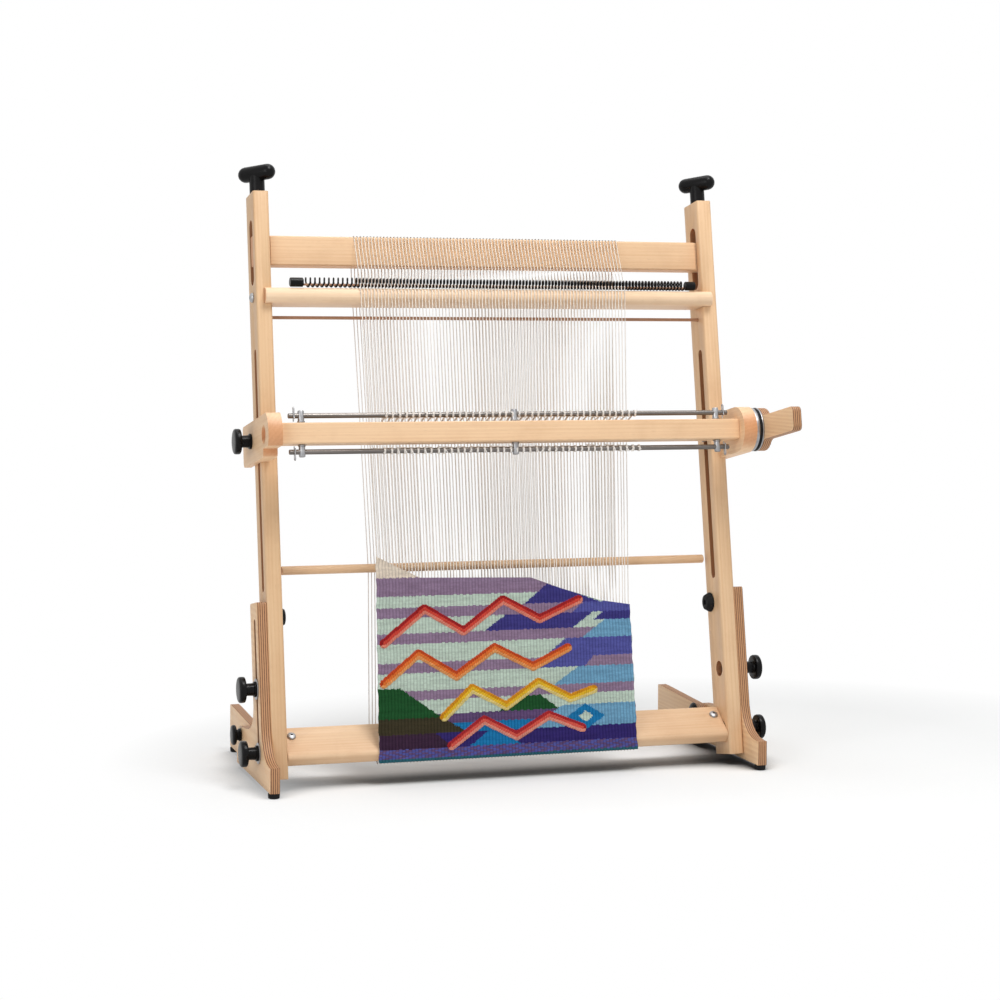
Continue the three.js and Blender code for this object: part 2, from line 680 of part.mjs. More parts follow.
// Feet: an arm beside the upright, a toe in front and a heel behind, cut from one ply board
function footShape() {
  const shape = new THREE.Shape();
  const arm = (n, s) => standPoint(n, s);
  shape.moveTo(TOE_Y, boardFoot);
  shape.lineTo(HEEL_Y, boardFoot);
  shape.lineTo(HEEL_Y, HEEL_TOP - HEEL_ROUND);
  shape.absarc(HEEL_Y - HEEL_ROUND, HEEL_TOP - HEEL_ROUND, HEEL_ROUND, 0, Math.PI / 2);
  shape.lineTo(HEEL_BEND_Y, HEEL_BEND_Z);
  shape.quadraticCurveTo(ARM_ROOT_Y, ARM_ROOT_Z, ...arm(ARM_REAR_Y, ARM_REAR_ROOT_Z));
  shape.lineTo(...arm(ARM_REAR_Y, ARM_TOP_Z - ARM_ROUND));
  shape.quadraticCurveTo(...arm(ARM_REAR_Y, ARM_TOP_Z), ...arm(ARM_REAR_Y - ARM_ROUND, ARM_TOP_Z));
  shape.lineTo(...arm(ARM_FRONT_Y + ARM_ROUND, ARM_TOP_Z));
  shape.quadraticCurveTo(...arm(ARM_FRONT_Y, ARM_TOP_Z), ...arm(ARM_FRONT_Y, ARM_TOP_Z - ARM_ROUND));
  shape.lineTo(...arm(ARM_FRONT_Y, ARM_FRONT_ROOT_Z));
  shape.quadraticCurveTo(INSTEP_Y, INSTEP_Z, TOE_Y + TOE_FLAT, TOE_TOP);
  shape.lineTo(TOE_Y, TOE_TOP);
  return shape;
}

const leanTurn = new THREE.Matrix4().makeRotationX(-LEAN);

function foot(side) {
  const low = LEG_BOLT_LOWER_Z - (BOLT_DIA + SLOT_PLAY) / 2;
  const slot = slotShape(LEG_BOLT_Y, low, ARM_SLOT_TOP, BOLT_DIA + SLOT_PLAY);
  const through = [footInner - 1, footOuter + 1];
  const body = board(footShape(), footInner, footOuter, side);
  const armSlot = board(slot, ...through, side).applyMatrix4(leanTurn);
  const pivot = drillAcross(BOLT_DIA + BOLT_PLAY, ...through, side, PIVOT_Y, PIVOT_Z, SMALL_SIDES);
  return cut(body, [armSlot, pivot]);
}

function rearLegShape() {
  const shape = new THREE.Shape();
  const sweep = PIVOT_Z - boardFoot;
  const frontZ = PIVOT_Z - Math.sqrt(sweep ** 2 - REAR_LEG_FRONT_R ** 2);
  const frontAngle = Math.atan2(frontZ - PIVOT_Z, -REAR_LEG_FRONT_R) + 2 * Math.PI;
  const round = REAR_LEG_FRONT_R;
  shape.moveTo(PIVOT_Y, boardFoot);
  shape.lineTo(REAR_LEG_Y, boardFoot);
  shape.lineTo(REAR_LEG_Y, REAR_LEG_TOP);
  shape.lineTo(REAR_LEG_Y - REAR_LEG_FLAT, REAR_LEG_TOP);
  shape.lineTo(PIVOT_Y, REAR_LEG_NECK);
  shape.absarc(PIVOT_Y, REAR_LEG_NECK - round, round, Math.PI / 2, Math.PI);
  shape.lineTo(PIVOT_Y - REAR_LEG_FRONT_R, frontZ);
  shape.absarc(PIVOT_Y, PIVOT_Z, sweep, frontAngle, 1.5 * Math.PI);
  return shape;
}

function rearLeg(side) {
  const through = [legInner - 1, legOuter + 1];
  const body = board(rearLegShape(), legInner, legOuter, side);
  return cut(body, [drillAcross(BOLT_DIA + BOLT_PLAY, ...through, side, PIVOT_Y, PIVOT_Z, SMALL_SIDES)]);
}

function pad(side, x, y) {
  const radius = PAD_DIA / 2;
  const top = boardFoot - GAP;
  const profile = [[0, -GROUND_DROP], [radius - PAD_TAPER, -GROUND_DROP], [radius, top], [0, top]];
  const points = profile.map(([r, height]) => new THREE.Vector2(r, height));
  return new THREE.LatheGeometry(points, TURNED_SIDES).rotateX(Math.PI / 2).translate(side * x, y, 0);
}

// Knobs and bolts
function knobProfile({ length, bore, headDiameter, headThickness, neckDiameter, flangeDiameter, flangeThickness }) {
  const bolt = (BOLT_DIA + BOLT_PLAY) / 2;
  const head = headDiameter / 2;
  const neck = neckDiameter / 2;
  const under = length - headThickness;
  return [
    [0, bore],
    [bolt, bore],
    [bolt, 0],
    [flangeDiameter / 2, 0],
    [flangeDiameter / 2, flangeThickness],
    [neck, flangeThickness],
    [neck, under],
    [head, under],
    [head, length - KNOB_EDGE],
    [head - KNOB_EDGE, length - KNOB_CROWN],
    [0, length],
  ];
}

const shedKnob = knobProfile({
  length: KNOB_LENGTH,
  bore: KNOB_BORE,
  headDiameter: KNOB_HEAD_DIA,
  headThickness: KNOB_HEAD_T,
  neckDiameter: KNOB_NECK_DIA,
  flangeDiameter: KNOB_FLANGE_DIA,
  flangeThickness: KNOB_FLANGE_T,
});
const rearKnob = knobProfile({
  length: REAR_KNOB_LENGTH,
  bore: REAR_KNOB_BORE,
  headDiameter: REAR_KNOB_HEAD_DIA,
  headThickness: REAR_KNOB_HEAD_T,
  neckDiameter: REAR_KNOB_NECK_DIA,
  flangeDiameter: REAR_KNOB_FLANGE_DIA,
  flangeThickness: KNOB_FLANGE_T,
});

// A leg knob bears on a broad washer, made in one with it.
const boltHole = (BOLT_DIA + BOLT_PLAY) / 2;
const legKnob = [
  [0, WASHER_T + KNOB_BORE],
  [boltHole, WASHER_T + KNOB_BORE],
  [boltHole, 0],
  [WASHER_DIA / 2, 0],
  [WASHER_DIA / 2, WASHER_T],
  ...shedKnob.slice(3).map(([radius, height]) => [radius, height + WASHER_T]),
];

// A bolt whose head faces the middle of the loom, from the seat of its head to its tip.
function bolt(side, seat, tip, headDiameter, headHeight, y, z) {
  const profile = [
    [0, seat - headHeight],
    [headDiameter * HEAD_CROWN_SHARE, seat - headHeight],
    [headDiameter / 2, seat - headHeight * HEAD_EDGE_SHARE],
    [headDiameter / 2, seat],
    [BOLT_DIA / 2, seat],
    [BOLT_DIA / 2, tip],
    [0, tip],
  ];
  return turned(profile, side, 1, 0, y, z, headDiameter > BOLT_DIA * 2 ? TURNED_SIDES : SMALL_SIDES);
}

function bumper(side) {
  const hole = BUMPER_HOLE_DIA / 2;
  const profile = [
    [0, 0],
    [BUMPER_DIA / 2, 0],
    [BUMPER_DIA / 2, BUMPER_FLANGE_T],
    [BUMPER_TOP_DIA / 2 + BUMPER_EDGE / 2, BUMPER_H - BUMPER_EDGE],
    [BUMPER_TOP_DIA / 2 - BUMPER_EDGE / 2, BUMPER_H],
    [hole, BUMPER_H],
    [hole, BUMPER_H - BUMPER_HOLE_DEPTH],
    [0, BUMPER_H - BUMPER_HOLE_DEPTH],
  ];
  return turned(profile, side, -1, inner - GAP, BUMPER_Y, BUMPER_Z);
}

// Shed brackets: a nose in front of the upright and a thin cheek that slides along its outer face
function leftBracketShape() {
  const up = Math.asin(LEFT_BRACKET_UP / BARREL_R);
  const down = Math.asin(NOSE_DOWN / BARREL_R);
  const top = CARRIAGE_Z + LEFT_BRACKET_UP;
  const foot = CARRIAGE_Z - LEFT_BRACKET_DOWN;
  const round = BRACKET_ROUND;
  const shape = new THREE.Shape();
  shape.moveTo(NOTCH_Y + round, foot);
  shape.lineTo(BRACKET_REAR_Y - round, foot);
  shape.absarc(BRACKET_REAR_Y - round, foot + round, round, -Math.PI / 2, 0);
  shape.lineTo(BRACKET_REAR_Y, top - round);
  shape.absarc(BRACKET_REAR_Y - round, top - round, round, 0, Math.PI / 2);
  shape.absarc(AXIS_Y, CARRIAGE_Z, BARREL_R, Math.PI - up, Math.PI + down);
  shape.lineTo(NOTCH_Y, CARRIAGE_Z - NOSE_DOWN);
  shape.absarc(NOTCH_Y + round, foot + round, round, Math.PI, 1.5 * Math.PI);
  return shape;
}

function rightBracketShape() {
  const top = CARRIAGE_Z + BARREL_R;
  const foot = CARRIAGE_Z - BARREL_R;
  const round = BRACKET_ROUND;
  const shape = new THREE.Shape();
  shape.moveTo(AXIS_Y, foot);
  shape.lineTo(BRACKET_REAR_Y - round, foot);
  shape.absarc(BRACKET_REAR_Y - round, foot + round, round, -Math.PI / 2, 0);
  shape.lineTo(BRACKET_REAR_Y, top - round);
  shape.absarc(BRACKET_REAR_Y - round, top - round, round, 0, Math.PI / 2);
  shape.absarc(AXIS_Y, CARRIAGE_Z, BARREL_R, Math.PI / 2, 1.5 * Math.PI);
  return shape;
}

const shedKnobS = CARRIAGE_Z + SHED_KNOB_UP;

function shedBracket(side) {
  const shape = side < 0 ? leftBracketShape() : rightBracketShape();
  const body = new THREE.ExtrudeGeometry(shape, { depth: BRACKET_T, bevelEnabled: false, curveSegments: FINE_ARC_STEPS });
  body.applyMatrix4(ACROSS_X).translate(side > 0 ? bracketInner : -bracketOuter, 0, 0);
  const clearX = (bracketInner + outer + GAP - 1) / 2;
  const depth = BRACKET_REAR_Y + 2 * GAP + 1;
  const room = [outer + GAP - bracketInner + 1, depth, 4 * BARREL_R];
  const clearance = box(...room, [side * clearX, depth / 2 - GAP, CARRIAGE_Z]);
  const through = [bracketInner - 1, bracketOuter + 1];
  const tenonHole = drillAcross(TENON_DIA + BOLT_PLAY, ...through, side, AXIS_Y, CARRIAGE_Z);
  const boltHole = drillAcross(BOLT_DIA + BOLT_PLAY, ...through, side, SHED_SLOT_Y, shedKnobS, SMALL_SIDES);
  return cut(body, [clearance, tenonHole, boltHole]);
}

// Shed bar with round tenons that turn in the brackets; the right one carries rings and handle
const rodN = AXIS_Y - ROD_FORWARD;
const ringSpan = RINGS.reduce((sum, ring) => sum + ring.thickness + GAP, 0);
const handleInner = bracketOuter + ringSpan + GAP;

function shedBar() {
  const section = roundedRectangle(
    AXIS_Y - SHED_BAR_D / 2,
    CARRIAGE_Z - SHED_BAR_H / 2,
    AXIS_Y + SHED_BAR_D / 2,
    CARRIAGE_Z + SHED_BAR_H / 2,
    SHED_BAR_ROUND,
  );
  const half = bracketInner - GAP;
  const body = join([
    board(section, -half, half, 1),
    rodAlongX(TENON_DIA, -bracketOuter + TENON_RECESS, -half + 1, AXIS_Y, CARRIAGE_Z),
    rodAlongX(TENON_DIA, half - 1, handleInner + PLY_T / 2, AXIS_Y, CARRIAGE_Z),
  ]);
  const holes = [];
  for (const x of [-eyeX, 0, eyeX]) {
    for (const way of [-1, 1]) {
      const face = CARRIAGE_Z + way * SHED_BAR_H / 2;
      const ends = [face - way * EYE_SHANK_DEPTH, face + way].sort((a, b) => a - b);
      holes.push(drillUp(EYE_SHANK_DIA + BOLT_PLAY, ...ends, x, rodN));
    }
  }
  return cut(body, holes);
}

// A steel rod in three eyebolts, with a hairpin clip through each end
function heddleRod(way) {
  const s = CARRIAGE_Z + way * ROD_OFFSET;
  const rod = rodAlongX(ROD_DIA, -rodHalf, rodHalf, rodN, s, SMALL_SIDES);
  const eyebolts = [-eyeX, 0, eyeX].flatMap((x) => eyebolt(x, way));
  return join([rod, ...eyebolts, clip(-clipX, way), clip(clipX, way)]);
}

// The eye bears on the far side of its rod.
function eyebolt(x, way) {
  const s = CARRIAGE_Z + way * (ROD_OFFSET + ROD_DIA / 2 - EYE_R + EYE_WIRE_R - EYE_BITE);
  const eye = new THREE.TorusGeometry(EYE_R, EYE_WIRE_R, 4, 9).rotateY(Math.PI / 2);
  eye.scale(EYE_BROAD, 1, 1).translate(x, rodN, s);
  const tip = CARRIAGE_Z + way * (SHED_BAR_H / 2 - EYE_SHANK_DEPTH + GAP);
  const ends = [tip, s - way * EYE_R].sort((a, b) => a - b);
  return [eye, rodAlongZ(EYE_SHANK_DIA, ...ends, x, rodN, WIRE_SIDES)];
}

// A hairpin: one leg through the rod, one outside it
function clip(x, way) {
  const s = CARRIAGE_Z + way * ROD_OFFSET;
  const path = new THREE.CurvePath();
  const at = (n, height) => new THREE.Vector3(x, n, s + way * height);
  const half = CLIP_W / 2;
  const bend = (angle) => at(rodN - half + half * Math.cos(angle), CLIP_UP + half * Math.sin(angle));
  path.add(new THREE.LineCurve3(at(rodN, -CLIP_DOWN), at(rodN, CLIP_UP)));
  for (let i = 0; i < BEND_STEPS; i += 1) {
    path.add(new THREE.LineCurve3(bend(Math.PI * i / BEND_STEPS), bend(Math.PI * (i + 1) / BEND_STEPS)));
  }
  path.add(new THREE.LineCurve3(at(rodN - CLIP_W, CLIP_UP), at(rodN - CLIP_W, -CLIP_DOWN / 2)));
  const section = new THREE.Shape();
  section.absarc(0, 0, CLIP_WIRE / 2, 0, 2 * Math.PI);
  return new THREE.ExtrudeGeometry(section, { steps: 8, curveSegments: WIRE_SIDES, extrudePath: path, bevelEnabled: false });
}

function ring({ thickness, radius }, start) {
  const hole = (TENON_DIA + BOLT_PLAY) / 2;
  const profile = [[hole, 0], [radius, 0], [radius, thickness], [hole, thickness], [hole, 0]];
  return turned(profile, 1, 1, start, AXIS_Y, CARRIAGE_Z, RING_SIDES);
}

function handle() {
  const half = HANDLE_W / 2;
  const tip = AXIS_Y - HANDLE_REACH;
  const rootAngle = Math.asin((half + HANDLE_FILLET / 2) / HANDLE_R);
  const rootN = AXIS_Y - HANDLE_R * Math.cos(rootAngle);
  const rootUp = HANDLE_R * Math.sin(rootAngle);
  const neckN = rootN - HANDLE_FILLET;
  const shape = new THREE.Shape();
  shape.moveTo(rootN, CARRIAGE_Z - rootUp);
  shape.absarc(AXIS_Y, CARRIAGE_Z, HANDLE_R, Math.PI + rootAngle, 3 * Math.PI - rootAngle);
  shape.quadraticCurveTo(rootN - HANDLE_FILLET_BEND, CARRIAGE_Z + half, neckN, CARRIAGE_Z + half);
  shape.lineTo(tip + HANDLE_ROUND, CARRIAGE_Z + half);
  shape.absarc(tip + HANDLE_ROUND, CARRIAGE_Z + half - HANDLE_ROUND, HANDLE_ROUND, Math.PI / 2, Math.PI);
  shape.lineTo(tip, CARRIAGE_Z - half + HANDLE_ROUND);
  shape.absarc(tip + HANDLE_ROUND, CARRIAGE_Z - half + HANDLE_ROUND, HANDLE_ROUND, Math.PI, 1.5 * Math.PI);
  shape.lineTo(neckN, CARRIAGE_Z - half);
  shape.quadraticCurveTo(rootN - HANDLE_FILLET_BEND, CARRIAGE_Z - half, rootN, CARRIAGE_Z - rootUp);
  const body = new THREE.ExtrudeGeometry(shape, { depth: PLY_T, bevelEnabled: false, curveSegments: FINE_ARC_STEPS });
  body.applyMatrix4(ACROSS_X).translate(handleInner, 0, 0);
  const socket = drillAcross(TENON_DIA + BOLT_PLAY, handleInner - 1, handleInner + PLY_T / 2 + GAP, 1, AXIS_Y, CARRIAGE_Z);
  return cut(body, [socket]);
}

// Warp: one thread wound round the loom, a turn in each gap of the coil
const clear = THREAD_R + GAP;
const threadN = TAPESTRY_FRONT + TAPESTRY_T + clear;
const wovenTop = Math.max(...WOVEN_EDGE.map(([, s]) => s));
const barRun = (COIL_BAR_TOP - wovenTop) / (COIL_BAR_TOP - COIL_BAR_H - wovenTop);
const frontTop = new THREE.Vector2(threadN + (COIL_BAR_FRONT - clear - threadN) * barRun, COIL_BAR_TOP);
const beamDiagonal = BOTTOM_BEAM_W * Math.cos(BOTTOM_BEAM_TURN);
const beamDepth = BOTTOM_BEAM_T * Math.sin(BOTTOM_BEAM_TURN);
const gapOffset = coilStart + COIL_WIRE + coilPitch * COIL_GAP_SHARE;
const firstTurn = Math.ceil((WARP_LEFT - gapOffset) / coilPitch);
const lastTurn = Math.floor((WARP_RIGHT - gapOffset) / coilPitch);

function wovenEdgeAt(x) {
  for (let i = 0; i + 1 < WOVEN_EDGE.length; i += 1) {
    const [x0, s0] = WOVEN_EDGE[i];
    const [x1, s1] = WOVEN_EDGE[i + 1];
    if (x <= x1) return s0 + (s1 - s0) * Math.max(0, x - x0) / (x1 - x0);
  }
  return WOVEN_EDGE[WOVEN_EDGE.length - 1][1];
}

function warpTurn(turn) {
  const share = (turn - firstTurn) / (lastTurn - firstTurn);
  const x = gapOffset + coilPitch * turn;
  const foot = THREE.MathUtils.lerp(TAPESTRY_LEFT_FOOT, TAPESTRY_RIGHT, share);
  const edge = THREE.MathUtils.lerp(TAPESTRY_LEFT_TOP, TAPESTRY_RIGHT, share);
  const beamTop = TOP_BEAM_REST + TOP_BEAM_H + clear;
  const beamFront = BEAM_SLOT_Y - TOP_BEAM_T / 2;
  return [
    [foot, threadN, TAPESTRY_FOOT + clear],
    [edge, threadN, wovenEdgeAt(edge)],
    [x, frontTop.x, frontTop.y],
    [x, beamFront - GAP, beamTop],
    [x, beamFront + TOP_BEAM_T + clear, beamTop],
    [edge, WARP_BAR_Y + WARP_BAR_DIA / 2 + clear, WARP_BAR_Z],
    [foot, BOTTOM_BEAM_Y + beamDiagonal + beamDepth + clear, BOTTOM_BEAM_Z + beamDiagonal - beamDepth],
    [foot, BOTTOM_BEAM_Y + beamDepth, BOTTOM_BEAM_Z - beamDepth - clear],
  ].map((point) => new THREE.Vector3(...point));
}

function warpPath() {
  const points = [];
  for (let turn = firstTurn; turn <= lastTurn; turn += 1) points.push(...warpTurn(turn));
  return points;
}

// A tube of three sides along a path
function threadAlong(points) {
  const sides = 3;
  const positions = [];
  points.forEach((point, i) => {
    const before = points[Math.max(i - 1, 0)];
    const after = points[Math.min(i + 1, points.length - 1)];
    const ahead = new THREE.Vector3().subVectors(after, before).normalize();
    const across = new THREE.Vector3(1, 0, 0).addScaledVector(ahead, -ahead.x).normalize();
    const up = new THREE.Vector3().crossVectors(ahead, across);
    for (let k = 0; k < sides; k += 1) {
      const angle = 2 * Math.PI * k / sides;
      const corner = point.clone();
      corner.addScaledVector(across, Math.cos(angle) * THREAD_R);
      corner.addScaledVector(up, Math.sin(angle) * THREAD_R);
      positions.push(corner.x, corner.y, corner.z);
    }
  });
  return outwardFacing(tubeOf(positions, sides));
}

// A heddle set between its rod and the warp, as one sheet
function heddles(way) {
  const n0 = rodN + EYE_R + EYE_WIRE_R + GAP;
  const n1 = threadN + (frontTop.x - threadN) * HEDDLE_SHARE - 2 * clear;
  const s0 = CARRIAGE_Z + way * ROD_OFFSET;
  const s1 = CARRIAGE_Z + way * HEDDLE_REACH_Z;
  const shape = new THREE.Shape();
  shape.moveTo(n0, s0);
  shape.lineTo(n0, s0 - way * HEDDLE_T);
  shape.lineTo(n1, s1 - way * HEDDLE_T);
  shape.lineTo(n1, s1);
  const sheet = board(shape, WARP_LEFT + HEDDLE_MARGIN, WARP_RIGHT - HEDDLE_MARGIN, 1);
  return outwardFacing(weld(sheet));
}

function cloth() {
  const shape = new THREE.Shape();
  shape.moveTo(TAPESTRY_LEFT_FOOT, TAPESTRY_FOOT);
  shape.lineTo(TAPESTRY_RIGHT, TAPESTRY_FOOT);
  for (const [x, s] of [...WOVEN_EDGE].reverse()) shape.lineTo(x, s);
  const sheet = new THREE.ExtrudeGeometry(shape, { depth: TAPESTRY_T, bevelEnabled: false });
  return sheet.rotateX(Math.PI / 2).translate(0, TAPESTRY_FRONT + TAPESTRY_T, 0);
}

// Assembly of what leans
for (const { name, side } of SIDES) {
  const turn = side < 0 ? T_TURN_LEFT : T_TURN_RIGHT;
  const top = UPRIGHT_L + GAP;
  place(frame, `upright_${name}`, upright(side), maple);
  place(frame, `t_handle_${name}`, tHandle(turn).translate(side * liftX, BEAM_SLOT_Y, top), plastic);
  const tip = TOP_BEAM_REST + LIFT_SCREW_BELOW_BEAM;
  const screw = rodAlongZ(LIFT_SCREW_DIA, tip, top + T_SOCKET - GAP, side * liftX, BEAM_SLOT_Y, SMALL_SIDES);
  place(frame, `lift_screw_${name}`, screw, darkSteel);
  place(frame, `coil_bar_screw_${name}`, barScrew(side), looks.steel);
  place(frame, `beam_cleat_${name}`, cleat(side).applyMatrix4(beamTurn), ply);
  place(frame, `beam_bolt_${name}`, beamBolt(side).applyMatrix4(beamTurn), looks.steel);
  place(frame, `bumper_${name}`, bumper(side), looks.rubber);
}
place(frame, 'top_beam', topBeam(), maple);
place(frame, 'coil_bar', coilBar(), maple);
place(frame, 'warp_coil', coil(), springSteel);
place(frame, 'coil_cap_left', coilCap(coilLeft, COIL_CAP_LEFT_L), plastic);
place(frame, 'coil_cap_right', coilCap(coilRight - COIL_CAP_RIGHT_L, COIL_CAP_RIGHT_L), plastic);
const coilRodFrom = coilLeft + COIL_CAP_LEFT_L - COIL_ROD_SEAT;
const coilRodTo = coilRight - COIL_CAP_RIGHT_L + COIL_ROD_SEAT;
place(frame, 'coil_rod', rodAlongX(COIL_ROD_DIA, coilRodFrom, coilRodTo, COIL_Y, coilRodS, SMALL_SIDES), brownRod);
const leaseHalf = inner + LEASE_ROD_SEAT - GAP;
place(frame, 'lease_rod', rodAlongX(LEASE_ROD_DIA, -leaseHalf, leaseHalf, LEASE_ROD_Y, LEASE_ROD_Z, SMALL_SIDES), brownRod);
place(frame, 'bottom_beam', bottomBeam(), maple);
place(frame, 'warp_bar', rodAlongX(WARP_BAR_DIA, -warpBarHalf, warpBarHalf, WARP_BAR_Y, WARP_BAR_Z), maple);

// Leg bolts and their knobs
const counterFloor = inner + COUNTERBORE_DEPTH - GAP;
const legKnobX = footOuter + GAP;
for (const { name, side } of SIDES) {
  for (const [level, s] of [['upper', LEG_BOLT_UPPER_Z], ['lower', LEG_BOLT_LOWER_Z]]) {
    const tip = legKnobX + WASHER_T + KNOB_BORE - GAP;
    const legBolt = bolt(side, counterFloor, tip, BOLT_HEAD_DIA, BOLT_HEAD_H, LEG_BOLT_Y, s);
    place(frame, `leg_bolt_${level}_${name}`, legBolt, looks.steel);
    place(frame, `leg_knob_${level}_${name}`, turned(legKnob, side, 1, legKnobX, LEG_BOLT_Y, s), plastic);
  }
}

// Shed carriage and shed bar
const shedKnobX = bracketOuter + GAP;
for (const { name, side } of SIDES) {
  const tip = shedKnobX + KNOB_BORE - GAP;
  const shedBolt = bolt(side, inner - GAP, tip, BOLT_HEAD_DIA, BOLT_HEAD_H, SHED_SLOT_Y, shedKnobS);
  place(frame, `shed_bolt_${name}`, shedBolt, looks.steel);
  place(frame, `shed_bracket_${name}`, shedBracket(side), maple);
  place(frame, `shed_knob_${name}`, turned(shedKnob, side, 1, shedKnobX, SHED_SLOT_Y, shedKnobS), plastic);
}
place(frame, 'shed_bar', shedBar(), maple);
place(frame, 'heddle_rod_upper', heddleRod(1), darkSteel);
place(frame, 'heddle_rod_lower', heddleRod(-1), darkSteel);
let ringStart = bracketOuter + GAP;
for (const item of RINGS) {
  place(frame, item.name, ring(item, ringStart), looks[item.look]);
  ringStart += item.thickness + GAP;
}
place(frame, 'shed_handle', handle(), ply);

// Warp and the cloth woven on it
place(frame, 'warp', threadAlong(warpPath()), cotton);
place(frame, 'heddles_upper', heddles(1), cotton);
place(frame, 'heddles_lower', heddles(-1), cotton);
place(frame, 'tapestry', cloth(), wool);

// What stands on the table
const footX = (footInner + footOuter) / 2;
const legX = (legInner + legOuter) / 2;
for (const { name, side } of SIDES) {
  place(stand, `foot_${name}`, foot(side), ply);
  place(stand, `front_pad_${name}`, pad(side, footX, TOE_Y + PAD_DIA / 2), looks.rubber);
  const tip = footOuter + GAP + REAR_KNOB_BORE - GAP;
  const rearBolt = bolt(side, legInner - GAP, tip, DOME_HEAD_DIA, DOME_HEAD_H, PIVOT_Y, PIVOT_Z);
  place(stand, `rear_bolt_${name}`, rearBolt, plastic);
  place(stand, `rear_leg_${name}`, rearLeg(side), ply);
  place(stand, `rear_pad_${name}`, pad(side, legX, REAR_LEG_Y - PAD_DIA / 2), looks.rubber);
  place(stand, `rear_knob_${name}`, turned(rearKnob, side, 1, footOuter + GAP, PIVOT_Y, PIVOT_Z), plastic);
}

const coilGap = leastGap(coilPath().map(({ centre }) => centre), COIL_WIRE, COIL_STEPS / 2 + 1);
const warpGap = leastGap(warpPath(), 2 * THREAD_R, 4);
console.log(`least gap of the coil to itself: ${coilGap.toFixed(2)} mm`);
console.log(`least gap of the warp to itself: ${warpGap.toFixed(2)} mm`);

// The origin goes to the middle of the base.
stand.updateMatrixWorld(true);
const bounds = new THREE.Box3().setFromObject(stand, true);
const middle = bounds.getCenter(new THREE.Vector3());
stand.position.set(-middle.x, -middle.y, -bounds.min.z);
const loom = new THREE.Group();
loom.add(stand);

export default loom;
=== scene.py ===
# A table-top tapestry loom of maple and plywood with a small tapestry in work.
# Metres, +Z up. The loom's own sizes are written in millimetres in the plane of its leaning uprights:
# x across, n back from their front faces, s up along them.
import json
import math
import random

import bpy
from mathutils import Matrix, Vector


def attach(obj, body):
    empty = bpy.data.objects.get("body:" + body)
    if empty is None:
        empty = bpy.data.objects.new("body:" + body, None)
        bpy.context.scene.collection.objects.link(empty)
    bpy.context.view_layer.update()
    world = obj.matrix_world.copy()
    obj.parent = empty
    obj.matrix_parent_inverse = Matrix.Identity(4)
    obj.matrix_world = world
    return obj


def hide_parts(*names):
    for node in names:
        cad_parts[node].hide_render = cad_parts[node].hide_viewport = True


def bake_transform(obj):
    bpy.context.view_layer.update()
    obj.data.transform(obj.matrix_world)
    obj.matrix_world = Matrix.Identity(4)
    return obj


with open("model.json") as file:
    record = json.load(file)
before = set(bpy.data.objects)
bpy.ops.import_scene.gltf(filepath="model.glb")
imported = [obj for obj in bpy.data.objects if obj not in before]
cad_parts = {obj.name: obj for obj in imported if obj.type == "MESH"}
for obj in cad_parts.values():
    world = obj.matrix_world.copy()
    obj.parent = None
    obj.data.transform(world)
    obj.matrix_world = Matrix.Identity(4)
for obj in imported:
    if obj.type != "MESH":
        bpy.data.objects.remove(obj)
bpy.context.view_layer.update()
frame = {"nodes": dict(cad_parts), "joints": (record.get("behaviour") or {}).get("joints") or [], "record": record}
nodes = frame["nodes"]
joints = {joint["name"]: joint for joint in frame["joints"]}
bodyOf = {}
for bodyName, members in frame["record"]["behaviour"]["bodies"].items():
    for member in members:
        bodyOf[member] = bodyName

mm = 0.001
shedAxis = {"n": -57, "s": 417.5}
leanUp = Vector(joints["top_beam_lift"]["axis"]).normalized()
leanBack = Vector((0, leanUp.z, -leanUp.y))
leanAngle = math.atan2(leanUp.y, leanUp.z)
leanFoot = Vector(joints["shed_bar_turn"]["pos_m"])
leanFoot = leanFoot - leanBack * shedAxis["n"] * mm - leanUp * shedAxis["s"] * mm
leaning = Matrix.Translation(leanFoot) @ Matrix.Rotation(-leanAngle, 4, "X")
standing = Matrix.Translation(leanFoot)

inner = 292.1  # inner face of an upright from the middle
outer = 312.1
gap = 0.3  # between pieces that touch in life
plyThickness = 12
sides = {"left": -1, "right": 1}


# Bench tools
def selectOnly(*pieces):
    bpy.ops.object.select_all(action="DESELECT")
    for piece in pieces:
        piece.select_set(True)
    bpy.context.view_layer.objects.active = pieces[0]


def startEdit(piece):
    selectOnly(piece)
    bpy.ops.object.mode_set(mode="EDIT")
    bpy.ops.mesh.select_all(action="SELECT")


def endEdit():
    bpy.ops.object.mode_set(mode="OBJECT")


def outwards(piece):
    startEdit(piece)
    bpy.ops.mesh.remove_doubles(threshold=0.002 * mm)
    bpy.ops.mesh.select_all(action="SELECT")
    bpy.ops.mesh.normals_make_consistent(inside=False)
    endEdit()


def smooth(piece, angle=32):
    selectOnly(piece)
    bpy.ops.object.shade_smooth_by_angle(angle=math.radians(angle))


def applyAll(piece):
    selectOnly(piece)
    for modifier in list(piece.modifiers):
        bpy.ops.object.modifier_apply(modifier=modifier.name)


def rounded(piece, width, segments=2, angle=40):
    edge = piece.modifiers.new("edge", "BEVEL")
    edge.width = width * mm
    edge.segments = segments
    edge.limit_method = "ANGLE"
    edge.angle_limit = math.radians(angle)
    applyAll(piece)


def joined(name, *pieces):
    selectOnly(*pieces)
    if len(pieces) > 1:
        bpy.ops.object.join()
    piece = bpy.context.object
    piece.name = name
    return piece


# Sets a piece modelled along +Z at a point of the loom, with its +Z along the given direction.
def pointing(direction, at, spin=0.0):
    turn = Vector(direction).to_track_quat("Z", "Y").to_matrix().to_4x4()
    return Matrix.Translation(Vector(at) * mm) @ turn @ Matrix.Rotation(spin, 4, "Z")


